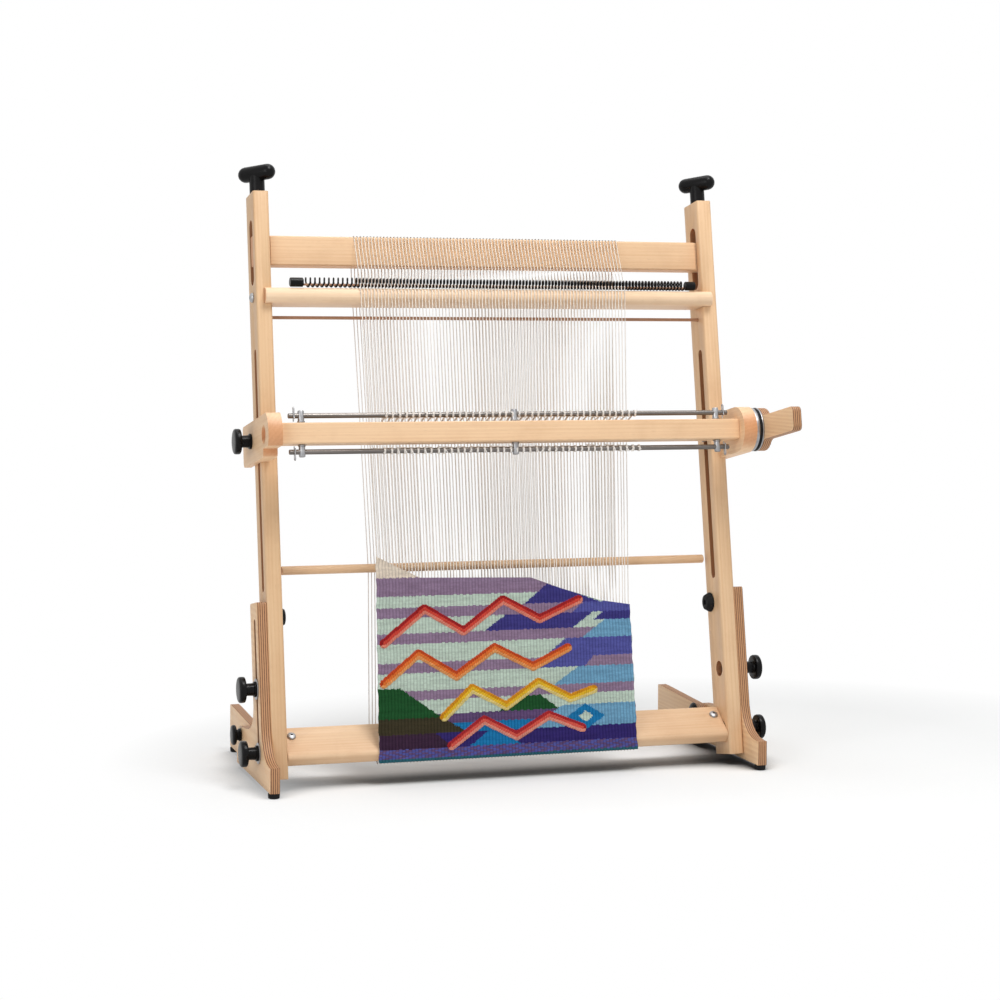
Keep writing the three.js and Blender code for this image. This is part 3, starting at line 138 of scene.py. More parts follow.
def settle(piece, matrix, stand=leaning):
    piece.matrix_world = stand @ matrix
    selectOnly(piece)
    bpy.ops.object.transform_apply(location=True, rotation=True, scale=True)
    return piece


def finishPiece(piece, material, body, *replaced, slot=None):
    piece.data.materials.clear()
    piece.data.materials.append(material)
    if body:
        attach(piece, body)
    if replaced:
        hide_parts(*replaced)
    return piece


# Sweeps a circle up Z through a list of radius and height, one extrusion for each.
def sweptRound(name, profile, around, fill, edge):
    bpy.ops.object.select_all(action="DESELECT")
    radius, height = profile[0]
    bpy.ops.mesh.primitive_circle_add(vertices=around, radius=radius * mm, fill_type=fill)
    piece = bpy.context.object
    piece.name = name
    startEdit(piece)
    bpy.ops.transform.translate(value=(0, 0, height * mm))
    for nextRadius, nextHeight in profile[1:]:
        bpy.ops.mesh.extrude_region_move(TRANSFORM_OT_translate={"value": (0, 0, (nextHeight - height) * mm)})
        share = nextRadius / radius
        bpy.ops.transform.resize(value=(share, share, 1), center_override=(0, 0, nextHeight * mm))
        radius, height = nextRadius, nextHeight
    endEdit()
    outwards(piece)
    if edge:
        rounded(piece, edge)
    smooth(piece)
    return piece


def turnedPiece(name, steps, around=40, edge=0.0):
    return sweptRound(name, steps, around, "NGON", edge)


# A ring's profile closes on itself.
def ringPiece(name, profile, around, edge):
    return sweptRound(name, profile + profile[:1], around, "NOTHING", edge)


# The profile of a dowel with its two ends eased.
def dowel(radius, start, end, ease, depth):
    return [(radius - ease, start), (radius, start + depth), (radius, end - depth), (radius - ease, end)]


# A sawn board: the solid of the frame, made whole again and its edges eased.
def boardPiece(node, edge, segments=2):
    board = nodes[node].copy()
    board.data = nodes[node].data.copy()
    board.name = node + "_wood"
    bpy.context.collection.objects.link(board)
    board.parent = None
    board.matrix_world = Matrix()
    startEdit(board)
    bpy.ops.mesh.remove_doubles(threshold=0.002 * mm)
    bpy.ops.mesh.select_all(action="SELECT")
    bpy.ops.mesh.dissolve_limited(angle_limit=math.radians(0.6))
    endEdit()
    rounded(board, edge, segments)
    smooth(board)
    return board


# Threads and wires: open lines of points with a round section, made one mesh.
def wirePiece(name, lines, thickness, resolution=2):
    curve = bpy.data.curves.new(name, "CURVE")
    curve.dimensions = "3D"
    curve.bevel_depth = thickness / 2 * mm
    curve.bevel_resolution = resolution
    curve.use_fill_caps = True
    for line in lines:
        spline = curve.splines.new("POLY")
        spline.points.add(len(line) - 1)
        for point, place in zip(spline.points, line):
            point.co = (place[0] * mm, place[1] * mm, place[2] * mm, 1)
    piece = bpy.data.objects.new(name, curve)
    bpy.context.collection.objects.link(piece)
    selectOnly(piece)
    bpy.ops.object.convert(target="MESH")
    piece = bpy.context.object
    smooth(piece, 50)
    return piece


# Camera
cameraFacts = {
    "lens": 81.592,
    "sensor": 36,
    "yaw": 17.628,
    "pitch": 2.033,
    "roll": 0.310,
    "place": (-0.881707, -2.787018, 0.577200),
    "shiftY": -0.1,
    "reach": 60,
}


def setCamera(facts):
    yaw, pitch, roll = (math.radians(facts[key]) for key in ("yaw", "pitch", "roll"))
    ahead = Vector((math.sin(yaw) * math.cos(pitch), math.cos(yaw) * math.cos(pitch), -math.sin(pitch)))
    across = Vector((math.cos(yaw), -math.sin(yaw), 0))
    above = across.cross(ahead)
    right = across * math.cos(roll) + above * math.sin(roll)
    up = above * math.cos(roll) - across * math.sin(roll)
    bpy.ops.object.camera_add()
    camera = bpy.context.object
    camera.name = "camera"
    turn = Matrix((right, up, -ahead)).transposed().to_4x4()
    camera.matrix_world = Matrix.Translation(Vector(facts["place"])) @ turn
    camera.data.sensor_width = facts["sensor"]
    camera.data.lens = facts["lens"]
    camera.data.shift_y = facts["shiftY"]
    camera.data.clip_end = facts["reach"]
    bpy.context.scene.camera = camera


setCamera(cameraFacts)
print("camera set")


# Nodes for the finishes
def tint(red, green, blue):
    channels = []
    for value in (red, green, blue):
        share = value / 255
        channels.append(share / 12.92 if share <= 0.04045 else ((share + 0.055) / 1.055) ** 2.4)
    return (*channels, 1)


def feed(tree, socket, value):
    if isinstance(value, bpy.types.NodeSocket):
        tree.links.new(value, socket)
    else:
        socket.default_value = value


def calc(tree, operation, first, second=None, clamp=False):
    node = tree.nodes.new("ShaderNodeMath")
    node.operation = operation
    node.use_clamp = clamp
    feed(tree, node.inputs[0], first)
    if second is not None:
        feed(tree, node.inputs[1], second)
    return node.outputs[0]


def times(tree, first, second, clamp=False):
    return calc(tree, "MULTIPLY", first, second, clamp)


def plus(tree, first, second, clamp=False):
    return calc(tree, "ADD", first, second, clamp)


def blendColour(tree, factor, first, second, mode="MIX"):
    node = tree.nodes.new("ShaderNodeMix")
    node.data_type = "RGBA"
    node.blend_type = mode
    feed(tree, node.inputs[0], factor)
    feed(tree, node.inputs[6], first)
    feed(tree, node.inputs[7], second)
    return node.outputs[2]


def spread(tree, value, low, high, toLow=0.0, toHigh=1.0):
    node = tree.nodes.new("ShaderNodeMapRange")
    feed(tree, node.inputs[0], value)
    for index, limit in enumerate((low, high, toLow, toHigh)):
        feed(tree, node.inputs[index + 1], limit)
    return node.outputs[0]


def mapped(tree, vector, scale=(1, 1, 1), turn=(0, 0, 0), shift=(0, 0, 0)):
    node = tree.nodes.new("ShaderNodeMapping")
    feed(tree, node.inputs["Vector"], vector)
    node.inputs["Scale"].default_value = scale
    node.inputs["Rotation"].default_value = [math.radians(angle) for angle in turn]
    node.inputs["Location"].default_value = shift
    return node.outputs[0]


def cloud(tree, vector, scale, detail=3.0, roughness=0.5, distortion=0.0):
    node = tree.nodes.new("ShaderNodeTexNoise")
    feed(tree, node.inputs["Vector"], vector)
    feed(tree, node.inputs["Scale"], scale)
    node.inputs["Detail"].default_value = detail
    node.inputs["Roughness"].default_value = roughness
    node.inputs["Distortion"].default_value = distortion
    return node.outputs["Fac"]


def parts(tree, vector):
    node = tree.nodes.new("ShaderNodeSeparateXYZ")
    feed(tree, node.inputs[0], vector)
    return node.outputs


def newGroup(name, inputs, outputs):
    group = bpy.data.node_groups.new(name, "ShaderNodeTree")
    kinds = {"vector": "NodeSocketVector", "colour": "NodeSocketColor", "value": "NodeSocketFloat"}
    for label, kind in inputs:
        group.interface.new_socket(name=label, in_out="INPUT", socket_type=kinds[kind])
    for label, kind in outputs:
        group.interface.new_socket(name=label, in_out="OUTPUT", socket_type=kinds[kind])
    start = group.nodes.new("NodeGroupInput")
    end = group.nodes.new("NodeGroupOutput")
    return group, start.outputs, end.inputs


# Maple: the grain runs along the vector's own X.
def makeWoodGrain():
    group, given, result = newGroup(
        "woodGrain",
        [("Vector", "vector"), ("Light", "colour"), ("Dark", "colour"), ("Figure", "value")],
        [("Color", "colour"), ("Roughness", "value"), ("Height", "value")],
    )
    vector = given["Vector"]
    broad = cloud(group, mapped(group, vector, (3, 26, 26)), 1, 2)
    streak = cloud(group, mapped(group, vector, (7, 520, 520)), 1, 4, 0.6, 0.2)
    fine = cloud(group, mapped(group, vector, (40, 1700, 1700)), 1, 2, 0.6)
    wave = group.nodes.new("ShaderNodeTexWave")
    wave.wave_type = "RINGS"
    wave.rings_direction = "X"
    feed(group, wave.inputs["Vector"], mapped(group, vector, (3, 85, 85), (0, 0, 0), (0, 3.1, 1.7)))
    wave.inputs["Scale"].default_value = 0.8
    wave.inputs["Distortion"].default_value = 3.2
    wave.inputs["Detail"].default_value = 2
    wave.inputs["Detail Scale"].default_value = 0.6
    rings = spread(group, wave.outputs["Fac"], 0.15, 1)
    pores = spread(group, cloud(group, mapped(group, vector, (110, 2300, 2300)), 1, 1), 0.66, 0.74)
    mixed = times(group, spread(group, broad, 0.35, 0.65), 0.3)
    mixed = plus(group, mixed, times(group, rings, given["Figure"]))
    mixed = plus(group, mixed, times(group, spread(group, streak, 0.35, 0.7), 0.36), clamp=True)
    colour = blendColour(group, mixed, given["Light"], given["Dark"])
    colour = blendColour(group, times(group, pores, 0.22), colour, tint(168, 122, 88))
    group.links.new(colour, result["Color"])
    group.links.new(spread(group, fine, 0.3, 0.7, 0.42, 0.56), result["Roughness"])
    height = calc(group, "SUBTRACT", plus(group, streak, fine), pores)
    group.links.new(height, result["Height"])
    return group


# Plywood edge: thin layers across X, every other one of end grain.
def makePlyEdges():
    group, given, result = newGroup(
        "plyEdges",
        [("Vector", "vector"), ("Light", "colour"), ("Dark", "colour"), ("Layers per metre", "value")],
        [("Color", "colour"), ("Height", "value")],
    )
    vector = given["Vector"]
    wobble = times(group, cloud(group, mapped(group, vector, (60, 60, 60)), 1, 2), 0.00035)
    across = plus(group, parts(group, vector)["X"], wobble)
    layer = times(group, across, given["Layers per metre"])
    share = calc(group, "PINGPONG", layer, 1)
    band = spread(group, share, 0.5, 0.68)
    glue = spread(group, calc(group, "ABSOLUTE", calc(group, "SUBTRACT", share, 0.5)), 0.02, 0.12, 1, 0)
    speck = cloud(group, mapped(group, vector, (900, 260, 260)), 1, 3, 0.65)
    band = times(group, band, spread(group, speck, 0.2, 0.8, 0.55, 1.15), clamp=True)
    colour = blendColour(group, band, given["Light"], given["Dark"])
    colour = blendColour(group, times(group, glue, 0.45), colour, tint(95, 62, 38))
    group.links.new(colour, result["Color"])
    group.links.new(calc(group, "SUBTRACT", speck, times(group, band, 0.6)), result["Height"])
    return group


# Handling: a faint darkening and dulling that gathers in soft patches.
def makeHandling():
    group, given, result = newGroup(
        "handling",
        [
            ("Vector", "vector"),
            ("Color", "colour"),
            ("Soil", "colour"),
            ("Amount", "value"),
            ("Size", "value"),
        ],
        [("Color", "colour"), ("Mask", "value")],
    )
    patch = cloud(group, given["Vector"], given["Size"], 4, 0.6)
    mask = spread(group, patch, 0.48, 0.72)
    factor = times(group, mask, given["Amount"], clamp=True)
    group.links.new(blendColour(group, factor, given["Color"], given["Soil"]), result["Color"])
    group.links.new(mask, result["Mask"])
    return group


# Spun yarn: fine slanting lines of its twist and loose fibres.
def makeSpun():
    group, given, result = newGroup(
        "spun",
        [("Vector", "vector"), ("Color", "colour"), ("Shade", "colour"), ("Twist", "value")],
        [("Color", "colour"), ("Height", "value")],
    )
    x, y, z = (parts(group, given["Vector"])[axis] for axis in "XYZ")
    lay = plus(group, plus(group, times(group, x, 1.6), z), times(group, y, 0.7))
    wave = calc(group, "PINGPONG", times(group, lay, given["Twist"]), 1)
    fibre = cloud(group, given["Vector"], 2600, 3, 0.6)
    patch = cloud(group, given["Vector"], 90, 2, 0.5)
    factor = times(group, calc(group, "SUBTRACT", 1, wave), 0.5)
    factor = plus(group, factor, spread(group, fibre, 0.35, 0.7, 0, 0.35))
    factor = plus(group, factor, spread(group, patch, 0.35, 0.7, -0.1, 0.2), clamp=True)
    group.links.new(blendColour(group, factor, given["Color"], given["Shade"]), result["Color"])
    group.links.new(plus(group, wave, times(group, fibre, 0.7)), result["Height"])
    return group


woodGrain = makeWoodGrain()
plyEdges = makePlyEdges()
handling = makeHandling()
spun = makeSpun()


def newMaterial(name):
    material = bpy.data.materials.new(name)
    material.use_nodes = True
    tree = material.node_tree
    coordinates = tree.nodes.new("ShaderNodeTexCoord")
    return material, tree, tree.nodes["Principled BSDF"], coordinates


def useGroup(tree, group, **values):
    node = tree.nodes.new("ShaderNodeGroup")
    node.node_tree = group
    for label, value in values.items():
        feed(tree, node.inputs[label.replace("_", " ")], value)
    return node.outputs


def relief(tree, shader, height, strength, distance):
    node = tree.nodes.new("ShaderNodeBump")
    node.inputs["Strength"].default_value = strength
    node.inputs["Distance"].default_value = distance * mm
    feed(tree, node.inputs["Height"], height)
    tree.links.new(node.outputs[0], shader.inputs["Normal"])


leanDegrees = math.degrees(leanAngle)
grainTurns = {
    "across": (leanDegrees, 0, 0),
    "up": (leanDegrees, 90, 0),
    "back": (leanDegrees, 0, -90),
    "level": (0, 0, -90),
}
mapleFinish = {
    "light": (244, 208, 168),
    "dark": (222, 176, 132),
    "soil": (198, 150, 108),
    "end": (214, 148, 84),
    "endStrength": 0.56,
    "figure": 0.16,
}
# Tones for the slot walls: painted shade in the recesses, with the darker tone of sawn wood.
slotShadeTones = {"light": (176, 122, 82), "dark": (128, 80, 46)}


# A seed moves the grain along, so that no two boards are alike.
def makeMaple(name, grain, seed, light=mapleFinish["light"], dark=mapleFinish["dark"]):
    material, tree, shader, coordinates = newMaterial(name)
    shift = (seed * 0.37, seed * 0.053, seed * 0.021)
    vector = mapped(tree, coordinates.outputs["Object"], (1, 1, 1), grainTurns[grain], shift)
    wood = useGroup(
        tree, woodGrain, Vector=vector, Light=tint(*light), Dark=tint(*dark), Figure=mapleFinish["figure"]
    )
    axis = {"across": "X", "up": "Z", "back": "Y"}[grain]
    endwise = spread(tree, calc(tree, "ABSOLUTE", parts(tree, coordinates.outputs["Normal"])[axis]), 0.6, 0.9)
    endShade = blendColour(tree, 1.0, wood["Color"], tint(*mapleFinish["end"]), "MULTIPLY")
    worn = useGroup(
        tree,
        handling,
        Vector=coordinates.outputs["Object"],
        Color=blendColour(tree, times(tree, endwise, mapleFinish["endStrength"]), wood["Color"], endShade),
        Soil=tint(*mapleFinish["soil"]),
        Amount=0.18,
        Size=22.0,
    )
    tree.links.new(worn["Color"], shader.inputs["Base Color"])
    tree.links.new(wood["Roughness"], shader.inputs["Roughness"])
    relief(tree, shader, wood["Height"], 0.25, 0.08)
    return material


plyFinish = {
    "face": (248, 212, 170),
    "faceDark": (230, 186, 142),
    "layer": (198, 148, 106),
    "endGrain": (98, 60, 36),
    "figure": 0.42,
    "layersPerMetre": 9 / 0.012,
}


def makePly(name, face, seed):
    material, tree, shader, coordinates = newMaterial(name)
    shift = (seed * 0.29, seed * 0.047, seed * 0.031)
    vector = mapped(tree, coordinates.outputs["Object"], (1, 1, 1), grainTurns["level"], shift)
    light, dark = tint(*plyFinish["face"]), tint(*plyFinish["faceDark"])
    wood = useGroup(tree, woodGrain, Vector=vector, Light=light, Dark=dark, Figure=plyFinish["figure"])
    edge = useGroup(
        tree,
        plyEdges,
        Vector=mapped(tree, coordinates.outputs["Object"], (1, 1, 1), (0, 0, 0), (-face * mm, 0, 0)),
        Light=tint(*plyFinish["layer"]),
        Dark=tint(*plyFinish["endGrain"]),
        Layers_per_metre=plyFinish["layersPerMetre"],
    )
    facing = calc(tree, "ABSOLUTE", parts(tree, coordinates.outputs["Normal"])["X"])
    isEdge = spread(tree, facing, 0.55, 0.75, 1, 0)
    tree.links.new(blendColour(tree, isEdge, wood["Color"], edge["Color"]), shader.inputs["Base Color"])
    roughness = plus(tree, wood["Roughness"], times(tree, isEdge, 0.1))
    tree.links.new(roughness, shader.inputs["Roughness"])
    mixedHeight = plus(tree, wood["Height"], times(tree, edge["Height"], isEdge))
    relief(tree, shader, mixedHeight, 0.3, 0.08)
    return material


def makeMoulded(name, colour, shine, grit, scale=1400.0):
    material, tree, shader, coordinates = newMaterial(name)
    place = coordinates.outputs["Object"]
    grain = cloud(tree, place, scale, 3, 0.6)
    patch = cloud(tree, place, 60, 3, 0.5)
    pale = tuple(min(255, value + 7) for value in colour)
    worn = {"Color": tint(*colour), "Soil": tint(*pale), "Amount": 0.5, "Size": 240.0}
    dusty = useGroup(tree, handling, Vector=place, **worn)
    tree.links.new(dusty["Color"], shader.inputs["Base Color"])
    tree.links.new(spread(tree, patch, 0.3, 0.7, shine, shine + 0.1), shader.inputs["Roughness"])
    shader.inputs["Specular IOR Level"].default_value = 0.14
    relief(tree, shader, grain, grit, 0.05)
    return material


def makeMetal(name, colour, shade, shine, turn, lines=900.0):
    material, tree, shader, coordinates = newMaterial(name)
    place = mapped(tree, coordinates.outputs["Object"], (1, 1, 1), turn)
    brushed = cloud(tree, mapped(tree, place, (lines, 60, 60)), 1, 3, 0.6)
    patch = cloud(tree, mapped(tree, place, (12, 130, 130)), 1, 3, 0.6)
    clouded = blendColour(tree, spread(tree, patch, 0.35, 0.68), tint(*colour), tint(*shade))
    tree.links.new(clouded, shader.inputs["Base Color"])
    shader.inputs["Metallic"].default_value = 1
    tree.links.new(spread(tree, brushed, 0.3, 0.7, shine, shine + 0.16), shader.inputs["Roughness"])
    relief(tree, shader, brushed, 0.12, 0.02)
    return material


# Painted shade: the sides of a thread, found by their normal, are darker than its front and back, standing in for
# the shade between the threads of a row.
def makeYarn(name, colour, shade, sideShade, twist=900.0, fuzz=0.5):
    material, tree, shader, coordinates = newMaterial(name)
    yarn = useGroup(
        tree, spun, Vector=coordinates.outputs["Object"], Color=tint(*colour), Shade=tint(*shade), Twist=twist
    )
    ahead = calc(tree, "ABSOLUTE", parts(tree, coordinates.outputs["Normal"])["Y"])
    # Painted side shade: faces that turn sideways take the sideShade tone.
    sideShadeMask = spread(tree, ahead, 0.25, 0.8, 1, 0)
    tree.links.new(blendColour(tree, sideShadeMask, yarn["Color"], tint(*sideShade)), shader.inputs["Base Color"])
    shader.inputs["Roughness"].default_value = 0.9
    shader.inputs["Sheen Weight"].default_value = 0.2
    relief(tree, shader, yarn["Height"], fuzz, 0.15)
    return material


blackKnob = makeMoulded("blackMoulded", (12, 11, 12), 0.24, 0.08)
blackRubber = makeMoulded("blackRubber", (26, 26, 27), 0.6, 0.5, 900.0)
brownRod = makeMoulded("brownRod", (184, 140, 112), 0.45, 0.2, 800.0)
zinc = makeMetal("zincSteel", (178, 178, 179), (148, 148, 151), 0.3, (0, 0, 0))
rodSteel = makeMetal("rodSteel", (126, 120, 116), (100, 96, 92), 0.3, (0, 0, 0))
springSteel = makeMoulded("blackenedSteel", (15, 15, 16), 0.3, 0.1)
# The last tone of each yarn is its painted side shade.
cotton = makeYarn("cottonThread", (252, 246, 238), (232, 222, 212), (124, 108, 96))
heddleCord = makeYarn("heddleCord", (250, 247, 243), (226, 219, 212), (222, 214, 206))
print("finishes ready")


# Boards: the way of the grain, a seed and any tones of its own, then how far the edges are eased and in how many
# steps. These tones are partly the wood's own and partly painted light and shade: a board is made lighter or
# darker for how the light falls on it.
boardFacts = {
    "upright_left": {"wood": ("up", 1.0, (232, 196, 154), (212, 166, 121)), "edge": (1.1, 2)},
    "upright_right": {"wood": ("up", 2.3, (238, 202, 161), (218, 172, 127)), "edge": (1.1, 2)},
    "top_beam": {"wood": ("across", 3.1), "edge": (0.6, 2)},
    "coil_bar": {"wood": ("across", 4.7, (252, 222, 188), (236, 198, 158)), "edge": (0.6, 2)},
    "bottom_beam": {"wood": ("across", 5.2, (236, 203, 166), (216, 172, 131)), "edge": (0.6, 2)},
    "shed_bar": {"wood": ("across", 6.4), "edge": (0.6, 2)},
    "shed_bracket_left": {"wood": ("back", 7.7), "edge": (2.0, 3)},
    "shed_bracket_right": {"wood": ("back", 8.5), "edge": (1.6, 3)},
}
# Where the outer layer of each plywood part begins, across the loom.
plyFacts = {
    "foot_left": {"face": -outer - gap - plyThickness, "seed": 1.4},
    "foot_right": {"face": outer + gap, "seed": 2.6},
    "rear_leg_left": {"face": -outer, "seed": 3.8},
    "rear_leg_right": {"face": outer - plyThickness, "seed": 4.2},
    "shed_handle": {"face": 331.5, "seed": 5.5},
    "beam_cleat_left": {"face": -291.8, "seed": 6.1},
    "beam_cleat_right": {"face": 276.8, "seed": 6.9},
}

slotReach = {"n": (8, 34), "s": (200, 712)}
legBolt = {"n": 19, "upper": 111, "lower": 33, "boreRadius": 10.3, "boreDepth": 11}


# Painted shade in the slots and counterbores of an upright: their walls take a darker maple, partly the darker
# tone of sawn wood and partly the shade in these recesses.
def paintSlotShade(board, seed):
    slotShadeWood = makeMaple("maple_slot_shade_" + board.name, "up", seed, slotShadeTones["light"], slotShadeTones["dark"])
    board.data.materials.append(slotShadeWood)
    toLoom = leaning.inverted()
    for face in board.data.polygons:
        x, n, s = toLoom @ face.center / mm
        slotted = slotReach["n"][0] < n < slotReach["n"][1] and slotReach["s"][0] < s < slotReach["s"][1]
        offBolt = min(math.hypot(n - legBolt["n"], s - legBolt[level]) for level in ("upper", "lower"))
        if (slotted or offBolt < legBolt["boreRadius"]) and inner + 0.7 < abs(x) < outer - 0.7:
            face.material_index = 1


for node, facts in boardFacts.items():
    wood = makeMaple("maple_" + node, *facts["wood"])
    board = boardPiece(node, *facts["edge"])
    finishPiece(board, wood, bodyOf[node], node, slot="maple")
    if node.startswith("upright"):
        paintSlotShade(board, facts["wood"][1] + 0.5)
for node, facts in plyFacts.items():
    ply = makePly("ply_" + node, facts["face"], facts["seed"])
    finishPiece(boardPiece(node, 0.5), ply, bodyOf[node], node, slot="birch_ply")
print("boards sawn")

# Warp bar
warpBar = {"radius": 5.5, "half": 285, "n": 37, "s": 257}
bar = turnedPiece("warpBarDowel", dowel(warpBar["radius"], -warpBar["half"], warpBar["half"], 0.8, 0.8), 32)
settle(bar, pointing((1, 0, 0), (0, warpBar["n"], warpBar["s"])))
finishPiece(bar, makeMaple("maple_warp_bar", "across", 9.6), "frame", "warp_bar", slot="maple")

# T-handles and lifting screws
tHandle = {"bar": 10.0, "half": 26.2, "rise": 27.0, "neck": 9.75, "turn": {"left": 44, "right": 49}}
liftScrew = {
    "x": 302.1,
    "n": 21.5,
    "from": 646,
    "top": 735,
    "inHandle": 9,
    "radius": 4.7,
    "root": 3.95,
    "pitch": 25.4 / 16,
}


def halfRound(radius, reach, steps=5):
    rows = []
    for i in range(steps + 1):
        angle = math.pi / 2 * i / steps
        rows.append((max(radius * math.sin(angle), 0.4), -reach + radius * (1 - math.cos(angle))))
    return rows


def makeTHandle(side):
    sign = sides[side]
    start = halfRound(tHandle["bar"], tHandle["half"])
    steps = start + [(radius, -height) for radius, height in reversed(start)]
    crossbar = turnedPiece("tHandleBar_" + side, steps, 36)
    settle(crossbar, pointing((1, 0, 0), (0, 0, tHandle["rise"])), Matrix())
    neck = turnedPiece(
        "tHandleNeck_" + side,
        [
            (tHandle["neck"] - 0.7, 0),
            (tHandle["neck"], 0.7),
            (tHandle["neck"], tHandle["rise"] - 8),
            (tHandle["neck"] - 0.6, tHandle["rise"] - 1),
        ],
        36,
    )
    handle = joined("tHandle_" + side, crossbar, neck)
    turn = Matrix.Rotation(-math.radians(tHandle["turn"][side]), 4, "Z")
    place = Matrix.Translation(Vector((sign * liftScrew["x"], liftScrew["n"], liftScrew["top"] + gap)) * mm)
    settle(handle, place @ turn)
    finishPiece(handle, blackKnob, "t_handle_" + side, "t_handle_" + side, slot="black_plastic")


def makeLiftScrew(side):
    bpy.ops.object.select_all(action="DESELECT")
    bpy.ops.mesh.primitive_plane_add(size=0.001)
    screw = bpy.context.object
    screw.name = "liftScrew_" + side
    facts = liftScrew
    startEdit(screw)
    bpy.ops.mesh.merge(type="CENTER")
    bpy.ops.transform.translate(value=(facts["root"] * mm, 0, 0))
    depth = (facts["radius"] - facts["root"]) * mm
    rise = facts["pitch"] / 2 * mm
    bpy.ops.mesh.extrude_vertices_move(TRANSFORM_OT_translate={"value": (depth, 0, rise)})
    bpy.ops.mesh.extrude_vertices_move(TRANSFORM_OT_translate={"value": (-depth, 0, rise)})
    endEdit()
    thread = screw.modifiers.new("thread", "SCREW")
    thread.axis = "Z"
    thread.screw_offset = facts["pitch"] * mm
    thread.iterations = int((facts["top"] + facts["inHandle"] - facts["from"]) / facts["pitch"])
    thread.steps = 18
    thread.render_steps = 18
    thread.use_merge_vertices = True
    applyAll(screw)
    startEdit(screw)
    bpy.ops.mesh.remove_doubles(threshold=0.001 * mm)
    bpy.ops.mesh.select_all(action="DESELECT")
    bpy.ops.mesh.select_non_manifold(extend=False)
    bpy.ops.mesh.fill()
    bpy.ops.mesh.select_all(action="SELECT")
    bpy.ops.mesh.normals_make_consistent(inside=False)
    endEdit()
    smooth(screw, 40)
    settle(screw, Matrix.Translation(Vector((sides[side] * facts["x"], facts["n"], facts["from"])) * mm))
    finishPiece(screw, rodSteel, bodyOf["lift_screw_" + side], "lift_screw_" + side, slot="steel_rod")


for side in sides:
    makeTHandle(side)
    makeLiftScrew(side)
print("screws and T-handles made")

# Coil, its caps and the two brown rods. The coil is pulled out to its left and lies closest where
# the warp threads hold it.
coilFacts = {
    "radius": 5.45,
    "wire": 2.2,
    "n": -5.0,
    "s": 616.9,
    "runs": [(-250.9, -184.9, 11), (-184.9, 181.3, 82), (181.3, 263.0, 18)],
    "capRadius": 5.9,
    "caps": {"left": (-270, 17.0), "right": (279, 14.0)},
}


def makeCoilRun(start, end, turns):
    bpy.ops.object.select_all(action="DESELECT")
    bpy.ops.mesh.primitive_circle_add(vertices=8, radius=coilFacts["wire"] / 2 * mm, fill_type="NOTHING")
    run = bpy.context.object
    startEdit(run)
    bpy.ops.transform.translate(value=(start * mm, -coilFacts["radius"] * mm, 0))
    endEdit()
    winding = run.modifiers.new("winding", "SCREW")
    winding.axis = "X"
    winding.angle = -math.tau
    winding.screw_offset = (end - start) / turns * mm
    winding.iterations = turns
    winding.steps = 20
    winding.render_steps = 20
    applyAll(run)
    return run


def makeCoil():
    coil = joined("coilWire", *[makeCoilRun(*run) for run in coilFacts["runs"]])
    startEdit(coil)
    bpy.ops.mesh.remove_doubles(threshold=0.02 * mm)
    bpy.ops.mesh.select_all(action="DESELECT")
    bpy.ops.mesh.select_non_manifold(extend=False)
    bpy.ops.mesh.edge_face_add()
    endEdit()
    outwards(coil)
    smooth(coil, 60)
    settle(coil, Matrix.Translation(Vector((0, coilFacts["n"], coilFacts["s"])) * mm))
    finishPiece(coil, springSteel, "frame", "warp_coil", slot="spring_steel")


def makeCoilCap(side):
    start, length = coilFacts["caps"][side]
    radius = coilFacts["capRadius"]
    cap = turnedPiece(
        "coilCap_" + side,
        [(radius - 0.9, 0), (radius, 0.9), (radius, length - 0.9), (radius - 0.9, length), (0.6, length)],
        32,
    )
    settle(cap, pointing((-sides[side], 0, 0), (start, coilFacts["n"], coilFacts["s"])))
    finishPiece(cap, blackKnob, "frame", "coil_cap_" + side, slot="black_plastic")


makeCoil()
makeCoilCap("left")
makeCoilCap("right")

rodFacts = {
    "coil_rod": {"radius": 1.4, "from": -262, "to": 274, "n": -5.0, "s": 614.0},
    "lease_rod": {"radius": 2.1, "from": -297.8, "to": 297.8, "n": 21.0, "s": 576.0},
}
for node, facts in rodFacts.items():
    rod = turnedPiece(node + "_turned", dowel(facts["radius"], facts["from"], facts["to"], 0.3, 0.4), 20)
    settle(rod, pointing((1, 0, 0), (0, facts["n"], facts["s"])))
    finishPiece(rod, brownRod, "frame", node, slot="brown_rod")
print("coil wound")

# Knobs and bolts
knobFacts = {
    "head": 16.0,
    "thickness": 9.0,
    "neck": 7.85,
    "flange": 9.7,
    "flangeThickness": 2.8,
    "length": 22.5,
}
washerFacts = {"radius": 13.0, "thickness": 1.2}
rearKnobFacts = {
    "head": 12.75,
    "thickness": 6.0,
    "neck": 7.1,
    "flange": 8.1,
    "flangeThickness": 2.8,
    "length": 12.5,
}
boltFacts = {"hexRadius": 7.5, "hexHeight": 5, "legShank": 39, "shedShank": 38, "rearShank": 30}


def makeKnob(name, facts, lift=0.0):
    under = facts["length"] - facts["thickness"]
    head, top = facts["head"], facts["length"]
    steps = [
        (facts["flange"], 0),
        (facts["flange"], facts["flangeThickness"] - 0.5),
        (facts["flange"] - 0.5, facts["flangeThickness"]),
        (facts["neck"], facts["flangeThickness"]),
        (facts["neck"] - 0.3, under - 1.2),
        (facts["neck"] + 0.6, under),
        (head - 1.6, under),
        (head - 0.5, under + 0.5),
        (head, under + 1.8),
        (head, top - 3.0),
        (head - 0.5, top - 1.7),
        (head - 1.6, top - 0.9),
        (head - 3.4, top - 0.5),
        (head * 0.5, top - 0.12),
        (0.6, top),
    ]
    return turnedPiece(name, [(radius, height + lift) for radius, height in steps], 56)


def setOnSide(piece, side, x, n, s, stand=leaning, out=1):
    return settle(piece, pointing((sides[side] * out, 0, 0), (sides[side] * x, n, s)), stand)


